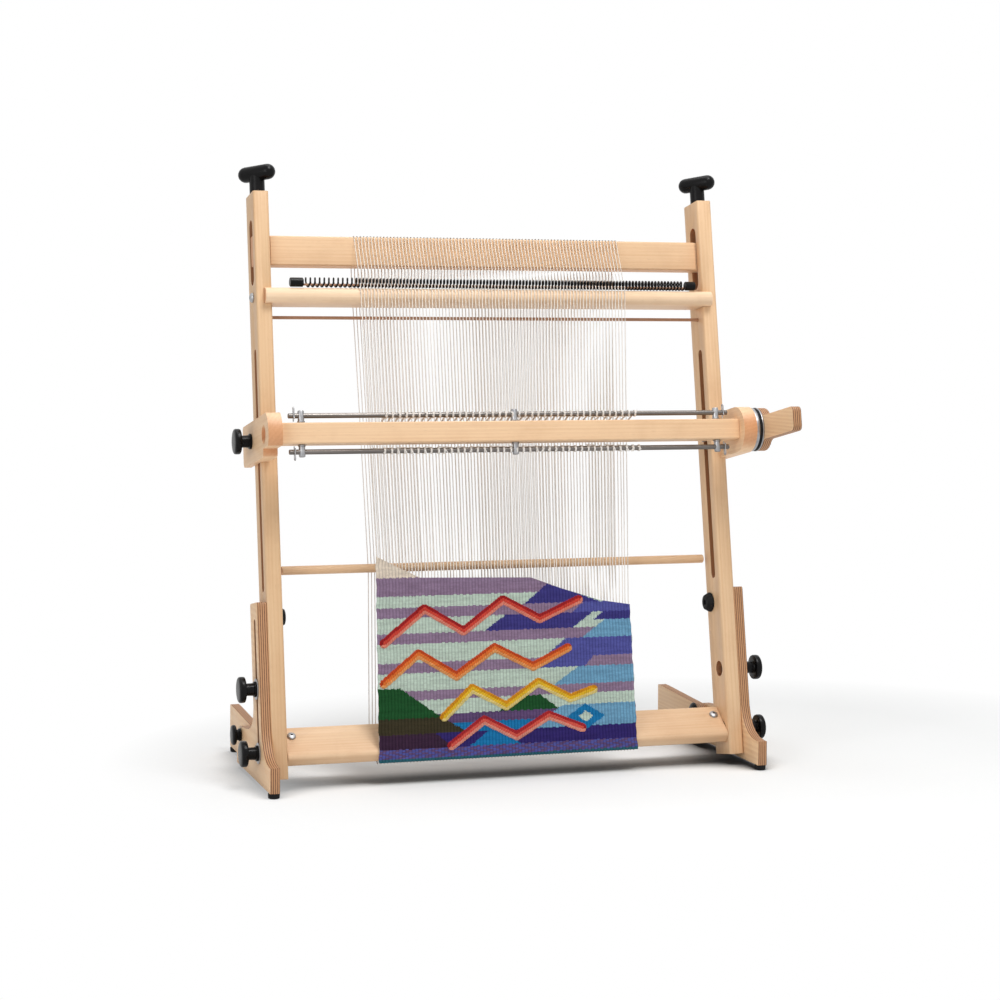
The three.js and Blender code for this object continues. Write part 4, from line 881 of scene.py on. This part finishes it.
footOuter = outer + gap + plyThickness
bracketOuter = outer + gap + 8.6
pivot = {"y": 138.5, "z": 32}
shedBolt = (20, 418.5)
bumperPlace = (34, 199)
padPlaces = {"front": (outer + gap + plyThickness / 2, -36.35), "rear": (outer - plyThickness / 2, 267.75)}


def makeHexHead(name):
    radius, height = boltFacts["hexRadius"], boltFacts["hexHeight"]
    return turnedPiece(name, [(radius, 0), (radius, height - 0.8), (radius - 1.2, height)], 6, 0.25)


def makeShank(name, length):
    return turnedPiece(name, [(3.3, 0), (3.95, 0.8), (3.95, length), (3.2, length + 1.5)], 20)


for side in sides:
    for level in ("upper", "lower"):
        place = (legBolt["n"], legBolt[level])
        thick = washerFacts["thickness"]
        knob = makeKnob(f"legKnob_{level}_{side}", knobFacts, thick)
        setOnSide(knob, side, footOuter + gap, *place)
        node = f"leg_knob_{level}_{side}"
        finishPiece(knob, blackKnob, node, node, slot="black_plastic")
        washer = ringPiece(
            f"legWasher_{level}_{side}",
            [(4.4, 0), (washerFacts["radius"], 0), (washerFacts["radius"], thick), (4.4, thick)],
            48,
            0.25,
        )
        setOnSide(washer, side, footOuter + gap, *place)
        finishPiece(washer, zinc, node, node, slot="zinc_steel")
        head = makeHexHead(f"legBolt_{level}_{side}")
        setOnSide(head, side, inner + legBolt["boreDepth"] - gap, *place, out=-1)
        shank = makeShank(f"legBoltShank_{level}_{side}", boltFacts["legShank"])
        setOnSide(shank, side, inner + legBolt["boreDepth"] - gap - 0.1, *place)
        bolt = joined(f"legBoltWhole_{level}_{side}", head, shank)
        finishPiece(bolt, springSteel, "frame", f"leg_bolt_{level}_{side}", slot="zinc_steel")

    knob = makeKnob("shedKnob_" + side, knobFacts)
    setOnSide(knob, side, bracketOuter + gap, *shedBolt)
    finishPiece(knob, blackKnob, "shed_knob_" + side, "shed_knob_" + side, slot="black_plastic")
    head = makeHexHead("shedBolt_" + side)
    setOnSide(head, side, inner - gap, *shedBolt, out=-1)
    shank = makeShank("shedBoltShank_" + side, boltFacts["shedShank"])
    setOnSide(shank, side, inner - 0.5, *shedBolt)
    whole = joined("shedBoltWhole_" + side, head, shank)
    finishPiece(whole, zinc, "shed_carriage", "shed_bolt_" + side, slot="zinc_steel")

    knob = makeKnob("rearKnob_" + side, rearKnobFacts)
    setOnSide(knob, side, footOuter + gap, pivot["y"], pivot["z"], standing)
    finishPiece(knob, blackKnob, "rear_knob_" + side, "rear_knob_" + side, slot="black_plastic")
    dome = turnedPiece(
        "rearBoltDome_" + side,
        [(11.2, 0), (12.5, 0.9), (12.3, 2.2), (11.0, 4.0), (8.2, 5.5), (4.4, 6.3), (0.5, 6.5)],
        48,
    )
    setOnSide(dome, side, outer - plyThickness - gap, pivot["y"], pivot["z"], standing, out=-1)
    shank = makeShank("rearBoltShank_" + side, boltFacts["rearShank"])
    setOnSide(shank, side, outer - plyThickness - 0.5, pivot["y"], pivot["z"], standing)
    whole = joined("rearBolt_" + side, dome, shank)
    finishPiece(whole, blackKnob, bodyOf["rear_bolt_" + side], "rear_bolt_" + side, slot="black_plastic")

    steps = [(12.1, 0), (12.75, 0.7), (12.6, 2.4), (10.2, 6.9), (9.5, 8.1), (8.3, 8.5)]
    steps += [(4.2, 8.5), (3.6, 8.0), (3.5, 6.1), (0.6, 6.0)]
    bumper = turnedPiece("bumper_" + side, steps, 48)
    setOnSide(bumper, side, inner - gap, *bumperPlace, out=-1)
    finishPiece(bumper, blackRubber, "frame", "bumper_" + side, slot="black_rubber")

    for end, (x, y) in padPlaces.items():
        steps = [(5.9, -14.5), (6.9, -13.9), (7.2, -11.0), (7.25, -8.6), (6.9, -8.2), (2.0, -8.2)]
        pad = turnedPiece(f"{end}Pad_{side}", steps, 36)
        settle(pad, Matrix.Translation(Vector((sides[side] * x, y, 0)) * mm), standing)
        node = f"{end}_pad_{side}"
        finishPiece(pad, blackRubber, bodyOf[node], node, slot="black_rubber")
print("knobs, bolts and pads set")


# Cross-slotted screws of the coil bar, hex-socket bolts of the bottom beam
barScrewPlace = (22.4, 601.5)
bottomBeam = {"n": -1.5, "s": 25.9, "boltFromSide": 10, "boltFromEdge": 35.8}
beamPlane = Matrix.Translation(Vector((0, bottomBeam["n"], bottomBeam["s"])) * mm)
beamPlane @= Matrix.Rotation(math.pi / 4, 4, "X")


def makeCrossScrew(side):
    screw = turnedPiece(
        "coilBarScrew_" + side,
        [(2.4, -31), (2.5, 0.3), (6.3, 0.3), (6.3, 1.1), (5.9, 2.2), (4.9, 3.4), (3.2, 4.1), (0.6, 4.3)],
        40,
    )
    for turn in (0, 90):
        bpy.ops.object.select_all(action="DESELECT")
        blade = Vector((6.4, 1.3, 3.2)) * mm
        bpy.ops.mesh.primitive_cube_add(size=1, location=(0, 0, 3.6 * mm), scale=blade)
        cutter = bpy.context.object
        cutter.rotation_euler.z = math.radians(turn)
        slotCut = screw.modifiers.new("cross", "BOOLEAN")
        slotCut.operation = "DIFFERENCE"
        slotCut.object = cutter
        slotCut.solver = "EXACT"
        applyAll(screw)
        bpy.data.objects.remove(cutter, do_unlink=True)
    smooth(screw)
    settle(screw, pointing((sides[side], 0, 0), (sides[side] * outer, *barScrewPlace), math.radians(20)))
    finishPiece(screw, zinc, "frame", "coil_bar_screw_" + side, slot="zinc_steel")


def makeBeamBolt(side):
    steps = [(2.4, -26), (2.5, 0.3), (5.75, 0.3), (5.7, 0.9), (4.9, 2.3), (3.4, 3.1)]
    steps += [(1.9, 3.3), (1.8, 1.6), (0.4, 1.3)]
    bolt = turnedPiece("beamBolt_" + side, steps, 40)
    x = sides[side] * (inner - bottomBeam["boltFromSide"])
    settle(bolt, beamPlane @ Matrix.Translation(Vector((x, bottomBeam["boltFromEdge"], 0)) * mm))
    finishPiece(bolt, zinc, "frame", "beam_bolt_" + side, slot="zinc_steel")


for side in sides:
    makeCrossScrew(side)
    makeBeamBolt(side)

# Heddle rods in their drilled posts, with hairpin clips
rodsFacts = {
    "radius": 3.175,
    "half": 290.5,
    "offset": 22.3,
    "n": -60.0,
    "posts": (-274.5, 0, 274.5),
    "postRadius": 4.0,
    "postFoot": 13.2,
    "postRise": 6.6,
    "clipX": 284,
}

# The springy leg of a clip, bent round the outside of its rod.
clipLeg = [(-4.6, 5), (-3.8, 1.5), (-4.4, -2), (-5.6, -4)]


def arcLine(x, n, s, radius, start, end, steps):
    line = []
    for i in range(steps + 1):
        angle = math.radians(start + (end - start) * i / steps)
        line.append((x, n + radius * math.cos(angle), s + radius * math.sin(angle)))
    return line


def makeHeddleRod(name, way):
    s = shedAxis["s"] + way * rodsFacts["offset"]
    n = rodsFacts["n"]
    end = rodsFacts["half"]
    radius = rodsFacts["radius"]
    rod = turnedPiece(name + "_rod", dowel(radius, -end, end, 0.5, 0.6), 28)
    settle(rod, pointing((1, 0, 0), (0, n, s)))
    width, foot = rodsFacts["postRadius"], rodsFacts["postFoot"]
    rise = rodsFacts["offset"] + rodsFacts["postRise"]
    steps = [(1.5, 4.6), (1.5, foot), (4.6, foot), (4.8, foot + 0.4), (4.8, foot + 2.2), (width, foot + 2.8)]
    steps += [(width, rise - 1.2), (width - 0.4, rise - 0.4), (width - 1.3, rise), (0.5, rise)]
    posts = []
    for index, x in enumerate(rodsFacts["posts"]):
        post = turnedPiece(f"{name}_post_{index}", steps, 32)
        settle(post, pointing((0, 0, way), (x, n, shedAxis["s"])))
        posts.append(post)
    posts = joined(name + "_posts", *posts)
    clips = []
    for x in (-rodsFacts["clipX"], rodsFacts["clipX"]):
        line = [(x, n, s - way * 7), (x, n, s + way * 8)]
        line += arcLine(x, n - 2.3, s + way * 8, 2.3, 0, 180 * way, 8)[1:]
        line += [(x, n + aside, s + way * along) for aside, along in clipLeg]
        clips.append(line)
    clip = wirePiece(name + "_clips", clips, 1.6, 2)
    settle(clip, Matrix())
    finishPiece(rod, rodSteel, "shed_bar", name, slot="steel_rod")
    finishPiece(posts, zinc, "shed_bar", name, slot="zinc_steel")
    finishPiece(clip, zinc, "shed_bar", name, slot="zinc_steel")


makeHeddleRod("heddle_rod_upper", 1)
makeHeddleRod("heddle_rod_lower", -1)

# Friction rings between the right bracket and the handle
ringFacts = [
    {"node": "friction_ring_inner", "thickness": 4.2, "radius": 28.4, "finish": zinc, "slot": "zinc_steel"},
    {
        "node": "friction_ring_rubber",
        "thickness": 3.4,
        "radius": 28.0,
        "finish": blackRubber,
        "slot": "black_rubber",
    },
    {"node": "friction_ring_outer", "thickness": 1.9, "radius": 28.5, "finish": zinc, "slot": "zinc_steel"},
]
ringBore = 11.3
ringStart = bracketOuter + gap
for facts in ringFacts:
    radius, thick = facts["radius"], facts["thickness"]
    profile = [(ringBore, 0), (radius, 0), (radius, thick), (ringBore, thick)]
    ring = ringPiece(facts["node"] + "_turned", profile, 72, 0.35)
    setOnSide(ring, "right", ringStart, shedAxis["n"], shedAxis["s"])
    finishPiece(ring, facts["finish"], "shed_bar", facts["node"], slot=facts["slot"])
    ringStart += thick + gap
print("shed bar fitted")

# Warp: front layer, over the top beam, down behind and under the bottom beam. The front layer
# leaves the coil at topN and topS, and the rear one lies behind the warp bar.
warpFacts = {
    "thickness": 1.15,
    "clothN": 0.1,
    "topN": -12.4,
    "topS": 610,
    "beamFront": 11.2,
    "beamRear": 32.3,
    "beamTop": 680.75,
    "barN": 43.2,
    "clothTopLeft": -172,
    "clothFootLeft": -178,
    "clothRight": 164,
}
# The corners of the bottom beam that a thread passes on its way back to the cloth, in n and s.
roundFoot = [(48.0, 49.5), (47.4, 47.5), (12.5, 13.0), (10.6, 12.4), (9.0, 12.8), (1.0, 20.0), (0.4, 24.0)]
wovenEdge = [(-172, 269), (-116, 241), (31, 237), (71, 222), (124, 205), (164, 198.5)]
heldFrom, heldTo, heldTurns = coilFacts["runs"][1]
threadPitch = (heldTo - heldFrom) / heldTurns
warpCount = heldTurns - 1


def between(first, last, share):
    return first + (last - first) * share


def edgeHeight(x):
    for (x0, s0), (x1, s1) in zip(wovenEdge, wovenEdge[1:]):
        if x <= x1:
            return between(s0, s1, max(0, x - x0) / (x1 - x0))
    return wovenEdge[-1][1]


def warpPlace(index):
    share = index / (warpCount - 1)
    x = heldFrom + threadPitch * (index + 1.0)
    foot = between(warpFacts["clothFootLeft"] + 1, warpFacts["clothRight"] - 1, share)
    edge = between(warpFacts["clothTopLeft"] + 1, warpFacts["clothRight"] - 1, share)
    return x, foot, edge


def warpLine(index):
    x, foot, edge = warpPlace(index)
    low = edgeHeight(edge) + 4
    clothN, topN, topS = (warpFacts[key] for key in ("clothN", "topN", "topS"))
    front, rear, high = (warpFacts[key] for key in ("beamFront", "beamRear", "beamTop"))
    drift = random.Random(index).uniform(-0.7, 0.7)
    points = [(foot, 0.3, 14), (edge, 0.3, low - 10), (edge + drift, clothN, low)]
    for share in (0.25, 0.5, 0.75, 1):
        side = between(edge + drift, x, share)
        points.append((side, between(clothN, topN, share), between(low, topS, share)))
    for share in (0.18, 0.35, 0.5, 0.65, 0.8, 0.97):
        points.append((x, between(topN, front, share), between(topS, high - 1.35, share)))
    points += [
        (x, front + 0.5, high - 0.35),
        (x, front + 1.6, high),
        (x, rear - 1.8, high),
        (x, rear - 0.4, high - 0.45),
        (x, rear, high - 2.75),
        (x, between(rear, warpFacts["barN"], 0.15), 620),
        (between(x, edge, 0.5), 38.2, 460),
        (edge, warpFacts["barN"], 262),
        (edge, warpFacts["barN"] + 0.1, 252),
    ]
    return points + [(foot, n, s) for n, s in roundFoot]


warp = wirePiece("warpThreads", [warpLine(i) for i in range(warpCount)], warpFacts["thickness"], 1)
settle(warp, Matrix())
finishPiece(warp, cotton, None, "warp", slot="cotton_thread")
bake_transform(warp)
print("warp wound:", warpCount, "threads")

# Heddles: a loop round the rod in a lark's head, two strands to their warp thread
heddleFacts = {"thickness": 1.25, "upperTip": 430, "lowerTip": 405}


def warpFrontAt(index, s):
    x, _, edge = warpPlace(index)
    low = edgeHeight(edge) + 4
    share = (s - low) / (warpFacts["topS"] - low)
    return between(edge, x, share), between(warpFacts["clothN"], warpFacts["topN"], share)


def heddleLine(index, way, jitter):
    rodS = shedAxis["s"] + way * rodsFacts["offset"]
    n = rodsFacts["n"]
    reach = rodsFacts["radius"] + heddleFacts["thickness"] / 2 + 0.05
    tip = heddleFacts["upperTip" if way > 0 else "lowerTip"] + jitter.uniform(-1.5, 1.5)
    x, threadN = warpFrontAt(index, tip)
    x0 = x + jitter.uniform(-0.5, 0.5)
    sag = jitter.uniform(-1.0, 1.6)
    halfway = (between(x, x0, 0.5), between(threadN, n, 0.5), between(tip, rodS - way, 0.45) - sag)
    line = [
        (x, threadN + 0.9, tip),
        (x + 0.7, threadN - 1.5, tip + 0.3 * way),
        (halfway[0] + 0.75, halfway[1], halfway[2]),
        (x0 + 0.6, n + 9, rodS - way * 1.6),
    ]
    line += arcLine(x0 + 0.62, n, rodS, reach, -30 * way, -330 * way, 10)
    line.append((x0 + 0.1, n + reach + 1.1, rodS + way * 0.6))
    line += arcLine(x0 - 0.62, n, rodS, reach, -330 * way, -30 * way, 10)
    line += [
        (x0 - 0.6, n + 9, rodS - way * 1.2),
        (halfway[0] - 0.75, halfway[1], halfway[2] - 0.6),
        (x - 0.7, threadN - 1.5, tip - 0.3 * way),
        (x, threadN + 0.9, tip),
    ]
    return line


# The knotted ends of a heddle, that stand off its rod.
def heddleTail(index, way, jitter):
    rodS = shedAxis["s"] + way * rodsFacts["offset"]
    x = warpFrontAt(index, rodS)[0]
    reach = rodsFacts["radius"] + heddleFacts["thickness"] / 2
    slant = jitter.uniform(-3.2, 3.2)
    rise = jitter.uniform(0.5, 4.0)
    n = rodsFacts["n"] - reach
    return [
        (x - 1.1, n + 1.2, rodS - way * 1.6),
        (x, n - 0.5, rodS),
        (x + slant * 0.4, n - 0.6, rodS + way * rise * 0.6),
        (x + slant, n + 0.4, rodS + way * (rise + 1.6)),
    ]


def makeHeddles(name, way):
    jitter = random.Random(11 + way)
    chosen = [index for index in range(1, warpCount - 1) if index % 2 == (0 if way > 0 else 1)]
    lines = [heddleLine(index, way, jitter) for index in chosen]
    lines += [heddleTail(index, way, jitter) for index in chosen]
    piece = wirePiece(name + "_loops", lines, heddleFacts["thickness"], 1)
    settle(piece, Matrix())
    finishPiece(piece, heddleCord, None, name, slot="cotton_thread")
    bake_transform(piece)


makeHeddles("heddles_upper", 1)
makeHeddles("heddles_lower", -1)
print("heddles tied")

# The tapestry: a bead is one turn of weft over a warp thread. Four columns of faces go to a thread
# and one row to a bead.
clothFacts = {
    "front": -1.9,
    "thickness": 2.4,
    "bead": 1.3,
    "columns": 4,
    "foot": 13.0,
    "top": 269.0,
    "swell": 0.45,
    "raisedHalf": 5.6,
    "raisedHeight": 1.9,
    "twinedFrom": 16,
    "twinedRow": 4,
}
wool = {
    "cream": (244, 230, 210),
    "lavender": (150, 126, 154),
    "mint": (200, 220, 204),
    "indigo": (60, 56, 134),
    "purple": (98, 74, 120),
    "periwinkle": (84, 88, 166),
    "sky": (116, 172, 206),
    "blue": (0, 122, 182),
    "navy": (44, 30, 110),
    "green": (6, 80, 32),
    "olive": (56, 50, 27),
    "aubergine": (54, 26, 56),
    "teal": (34, 96, 110),
}
# Bands of ground, each with the height it ends at, then the shapes laid on them in x and height.
bands = [
    (16, "teal"),
    (28, "twined"),
    (46, "navy"),
    (58, "blue"),
    (70, "purple"),
    (88, "mint"),
    (99, "lavender"),
    (122, "mint"),
    (134, "lavender"),
    (158, "mint"),
    (171, "lavender"),
    (190, "mint"),
    (203, "lavender"),
    (218, "mint"),
    (241, "lavender"),
    (300, "cream"),
]
shapes = [
    ("aubergine", [(-178, 28), (-178, 46), (-104, 46), (-82, 28)]),
    ("olive", [(-178, 46), (-178, 66), (-96, 66), (-62, 46)]),
    ("green", [(-178, 66), (-178, 104), (-148, 104), (-96, 66)]),
    ("blue", [(-60, 28), (-26, 52), (8, 28)]),
    ("sky", [(20, 46), (66, 74), (164, 74), (164, 46)]),
    ("blue", [(70, 58), (96, 74), (122, 58), (96, 42)]),
    ("mint", [(86, 58), (96, 65), (106, 58), (96, 51)]),
    ("green", [(-20, 70), (4, 88), (36, 88), (60, 70)]),
    ("sky", [(54, 99), (90, 122), (164, 122), (164, 99)]),
    ("periwinkle", [(26, 122), (74, 158), (164, 158), (164, 134), (110, 134), (98, 122)]),
    ("indigo", [(-34, 171), (-6, 190), (112, 190), (84, 171)]),
    ("sky", [(96, 158), (128, 180), (164, 180), (164, 158)]),
    ("indigo", [(20, 203), (52, 228), (84, 218), (124, 203)]),
    ("periwinkle", [(84, 190), (100, 203), (164, 203), (164, 190)]),
    ("indigo", [(112, 180), (164, 180), (164, 190), (126, 190)]),
    ("mint", [(-150, 203), (-124, 218), (-90, 203)]),
]
# Raised lines of wrapped weft, each with its tones from a dark edge to a light one.
raised = [
    {
        "line": [(-166, 160), (-112, 202), (-62, 172), (-8, 210), (40, 184), (94, 207)],
        "tones": [(166, 20, 26), (222, 70, 54), (244, 146, 122)],
    },
    {
        "line": [(-168, 110), (-122, 146), (-74, 116), (-22, 150), (28, 124), (76, 146)],
        "tones": [(204, 70, 18), (240, 122, 46), (248, 168, 98)],
    },
    {
        "line": [(-92, 66), (-54, 100), (-10, 76), (34, 104), (76, 82), (108, 92)],
        "tones": [(220, 146, 8), (246, 198, 40), (250, 226, 140)],
    },
    {
        "line": [(-84, 30), (-40, 60), (2, 38), (46, 62), (90, 44)],
        "tones": [(176, 30, 38), (230, 92, 76), (246, 160, 138)],
    },
]
raisedHalf = clothFacts["raisedHalf"]


def inside(corners, x, s):
    odd = False
    for (x0, s0), (x1, s1) in zip(corners, corners[1:] + corners[:1]):
        if (s0 > s) != (s1 > s) and x < between(x0, x1, (s - s0) / (s1 - s0)):
            odd = not odd
    return odd


# The twined band at the foot changes wool every two threads, and steps with each row.
def woolAt(x, s, rib, bead):
    for name, corners in reversed(shapes):
        if inside(corners, x, s):
            return name
    name = next(name for high, name in bands if s < high)
    if name == "twined":
        row = int((s - clothFacts["twinedFrom"]) / clothFacts["twinedRow"])
        return "periwinkle" if ((rib + bead * (1 if row % 2 else -1)) // 2 + row) % 2 else "purple"
    return name


# How far a point lies across the nearest raised line, and along it.
def raisedAt(x, s):
    for index, stroke in enumerate(raised):
        run = 0.0
        best = None
        for (x0, s0), (x1, s1) in zip(stroke["line"], stroke["line"][1:]):
            length = math.hypot(x1 - x0, s1 - s0)
            ux, us = (x1 - x0) / length, (s1 - s0) / length
            along = min(max((x - x0) * ux + (s - s0) * us, 0), length)
            dx, ds = x - x0 - ux * along, s - s0 - us * along
            off = math.hypot(dx, ds)
            if off < raisedHalf and (best is None or off < abs(best[1])):
                best = (index, math.copysign(off, ds * ux - dx * us), run + along)
            run += length
        if best:
            return best
    return None


# The selvedges wander a little, the middle of the cloth doesn't.
def clothPlace(share, level):
    edgeX = between(warpFacts["clothTopLeft"], warpFacts["clothRight"], share)
    footX = between(warpFacts["clothFootLeft"], warpFacts["clothRight"], share)
    s = between(clothFacts["foot"], edgeHeight(edgeX), level)
    wander = 0.5 * math.sin(s * 0.13) + 0.35 * math.sin(s * 0.37 + 1)
    return between(footX, edgeX, level) + wander * (2 * share - 1) ** 5, s


def makeCloth():
    columns = warpCount * clothFacts["columns"]
    rows = int((clothFacts["top"] - clothFacts["foot"]) / clothFacts["bead"])
    bpy.ops.object.select_all(action="DESELECT")
    bpy.ops.mesh.primitive_grid_add(x_subdivisions=columns, y_subdivisions=rows, size=1)
    cloth = bpy.context.object
    cloth.name = "tapestryCloth"
    mesh = cloth.data
    mesh.uv_layers.active.name = "weave"
    mesh.color_attributes.new("wool", "FLOAT_COLOR", "CORNER")
    weave = mesh.uv_layers["weave"]
    colours = mesh.color_attributes["wool"]
    spots = {}
    places = []
    for vertex in mesh.vertices:
        share, level = vertex.co.x + 0.5, vertex.co.y + 0.5
        x, s = clothPlace(share, level)
        places.append((x, s, share * warpCount))
        swell = math.sqrt(abs(math.sin(math.pi * share * warpCount)))
        n = clothFacts["front"] - clothFacts["swell"] * (swell - 1)
        spot = raisedAt(x, s)
        if spot:
            spots[vertex.index] = spot
            n -= clothFacts["raisedHeight"] * math.sqrt(1 - (spot[1] / raisedHalf) ** 2)
        vertex.co = (x * mm, n * mm, s * mm)
    jitter = random.Random(5)
    shade = {}
    for polygon in mesh.polygons:
        corners = [places[index] for index in polygon.vertices]
        x, s, rib = (sum(values) / len(corners) for values in zip(*corners))
        rib = int(rib)
        bead = int(s / clothFacts["bead"] + 0.5 * (rib % 2))
        key = (rib, bead)
        if key not in shade:
            shade[key] = jitter.uniform(0.9, 1.08)
        spot = raisedAt(x, s)
        if spot:
            tones = raised[spot[0]]["tones"]
            strand = min(2, int((raisedHalf - spot[1]) / raisedHalf * 1.5))
            colour = tint(*tones[strand])
        else:
            colour = tint(*wool[woolAt(x, bead * clothFacts["bead"], rib, bead)])
        for corner in polygon.loop_indices:
            index = mesh.loops[corner].vertex_index
            _, cornerS, cornerRib = places[index]
            uv = (cornerRib, cornerS / clothFacts["bead"])
            if spot:
                across = spots[index][1] if index in spots else raisedHalf
                along = spots[index][2] if index in spots else spot[2]
                uv = (across / 1.4, along / 3.2 + across * 0.25)
            weave.data[corner].uv = uv
            colours.data[corner].color = (*(min(1, channel * shade[key]) for channel in colour[:3]), 1)
    back = cloth.modifiers.new("thickness", "SOLIDIFY")
    back.thickness = clothFacts["thickness"] * mm
    back.offset = -1
    applyAll(cloth)
    outwards(cloth)
    smooth(cloth, 75)
    return cloth


# hollowShade and depth: the painted shade in the hollows between beads, and how strong it is.
woolFinish = {"hollowShade": (0.31, 0.27, 0.29, 1), "depth": 0.64, "bloom": (236, 232, 228), "bloomShare": 0.02}


# Each bead of weft is a small cushion over its warp thread, half a bead higher on every other thread. The hollows
# between the cushions are darkened towards the hollowShade tone as painted shade.
def makeWool(name):
    material, tree, shader, coordinates = newMaterial(name)
    dyed = tree.nodes.new("ShaderNodeVertexColor")
    dyed.layer_name = "wool"
    weave = tree.nodes.new("ShaderNodeUVMap")
    weave.uv_map = "weave"
    u, v = (parts(tree, weave.outputs[0])[axis] for axis in "XY")
    odd = calc(tree, "FLOOR", calc(tree, "MODULO", plus(tree, u, 200), 2))
    row = calc(tree, "FRACT", plus(tree, v, times(tree, odd, 0.5)))
    along = calc(tree, "SINE", times(tree, row, math.pi))
    across = calc(tree, "SINE", times(tree, calc(tree, "FRACT", u), math.pi))
    cushion = times(tree, calc(tree, "SQRT", along), calc(tree, "SQRT", across))
    place = mapped(tree, coordinates.outputs["Object"], (1, 1, 1), (leanDegrees, 0, 0))
    fibre = cloud(tree, mapped(tree, place, (900, 900, 2600)), 1, 4, 0.65)
    patch = cloud(tree, mapped(tree, place, (30, 30, 260)), 1, 2, 0.5)
    # Painted shade in the hollows between beads.
    dark = blendColour(tree, 1.0, dyed.outputs["Color"], woolFinish["hollowShade"], "MULTIPLY")
    pale = blendColour(tree, woolFinish["bloomShare"], dyed.outputs["Color"], tint(*woolFinish["bloom"]))
    factor = times(tree, calc(tree, "SUBTRACT", 1, cushion), woolFinish["depth"])
    factor = plus(tree, factor, spread(tree, fibre, 0.4, 0.7, 0, 0.3))
    factor = plus(tree, factor, spread(tree, patch, 0.4, 0.7, -0.05, 0.12), clamp=True)
    tree.links.new(blendColour(tree, factor, pale, dark), shader.inputs["Base Color"])
    shader.inputs["Roughness"].default_value = 0.95
    shader.inputs["Specular IOR Level"].default_value = 0.08
    relief(tree, shader, plus(tree, cushion, times(tree, fibre, 0.5)), 0.7, 0.35)
    return material


cloth = makeCloth()
settle(cloth, Matrix())
finishPiece(cloth, makeWool("wovenWool"), "frame", "tapestry", slot="woven_wool")
print("tapestry woven")


# Stage and light: the floor fades to white in an oval round the loom, and has a painted shadow, its colour
# darkened by ambient occlusion where the loom stands over it.
floorFacts = {
    "size": 14,
    "back": 3,
    "ovalX": 0.25,
    "ovalY": 0.05,
    "ovalAspect": 0.8,
    "fadeFrom": 0.37,
    "fadeTo": 0.6,
    # The painted shadow: how far it looks for the loom, where it is full and where it ends, and how dark it gets.
    "shadowReach": 0.09,
    "fullShadowAt": 0.4,
    "noShadowAt": 0.78,
    "shadowDarkest": 0.06,
}
worldLight = 0.3
lampFacts = {
    "keyLamp": {"place": (0.4, -1.15, 3.0), "target": (0, 0, 0.2), "size": 1.1, "power": 54},
    "fillLamp": {"place": (-2.4, -1.9, 1.3), "target": (0, 0, 0.35), "size": 1.6, "power": 21},
    "topLamp": {"place": (0.1, 0.4, 2.8), "target": (0, 0, 0.1), "size": 1.6, "power": 18},
}


# One for rays that show the floor or the world, zero for those that light the loom.
def shown(tree):
    path = tree.nodes.new("ShaderNodeLightPath")
    seen = calc(tree, "MAXIMUM", path.outputs["Is Camera Ray"], path.outputs["Is Glossy Ray"])
    return calc(tree, "MAXIMUM", seen, path.outputs["Is Transmission Ray"])


def makeStage(facts):
    bpy.ops.object.select_all(action="DESELECT")
    bpy.ops.mesh.primitive_plane_add(size=facts["size"], location=(0, facts["back"], 0))
    floor = bpy.context.object
    floor.name = "floor"
    material, tree, shader, coordinates = newMaterial("paleFloor")
    place = coordinates.outputs["Object"]
    pale = blendColour(tree, cloud(tree, place, 3, 2), tint(250, 251, 251), tint(246, 247, 247))
    # Painted shadow: ambient occlusion darkens the floor's colour where the loom stands over it.
    shadowProbe = tree.nodes.new("ShaderNodeAmbientOcclusion")
    shadowProbe.inputs["Distance"].default_value = facts["shadowReach"]
    paintedShadowFactor = spread(tree, shadowProbe.outputs["AO"], facts["fullShadowAt"], facts["noShadowAt"], facts["shadowDarkest"], 1)
    tree.links.new(blendColour(tree, paintedShadowFactor, tint(0, 0, 0), pale), shader.inputs["Base Color"])
    shader.inputs["Roughness"].default_value = 0.9
    shader.inputs["Specular IOR Level"].default_value = 0.1
    white = tree.nodes.new("ShaderNodeEmission")
    white.inputs["Color"].default_value = (1, 1, 1, 1)
    x, y = (parts(tree, place)[axis] for axis in "XY")
    across = times(tree, calc(tree, "SUBTRACT", x, facts["ovalX"]), facts["ovalAspect"])
    back = plus(tree, y, facts["back"] - facts["ovalY"])
    reach = calc(tree, "SQRT", plus(tree, times(tree, across, across), times(tree, back, back)))
    far = spread(tree, reach, facts["fadeFrom"], facts["fadeTo"])
    mix = tree.nodes.new("ShaderNodeMixShader")
    tree.links.new(times(tree, far, shown(tree)), mix.inputs[0])
    tree.links.new(shader.outputs[0], mix.inputs[1])
    tree.links.new(white.outputs[0], mix.inputs[2])
    tree.links.new(mix.outputs[0], tree.nodes["Material Output"].inputs["Surface"])
    floor.data.materials.append(material)


def makeWorld():
    world = bpy.data.worlds.new("studio")
    bpy.context.scene.world = world
    world.use_nodes = True
    tree = world.node_tree
    background = tree.nodes["Background"]
    background.inputs["Color"].default_value = (1, 1, 1, 1)
    tree.links.new(spread(tree, shown(tree), 0, 1, worldLight, 1.0), background.inputs["Strength"])


def makeLamp(name, facts):
    bpy.ops.object.light_add(type="AREA", location=facts["place"])
    lamp = bpy.context.object
    lamp.name = name
    lamp.data.size = facts["size"]
    lamp.data.energy = facts["power"]
    aim = Vector(facts["target"]) - Vector(facts["place"])
    lamp.rotation_euler = aim.to_track_quat("-Z", "Y").to_euler()


makeStage(floorFacts)
makeWorld()
for name, facts in lampFacts.items():
    makeLamp(name, facts)
bpy.context.scene.view_settings.view_transform = "Standard"
print("stage lit")
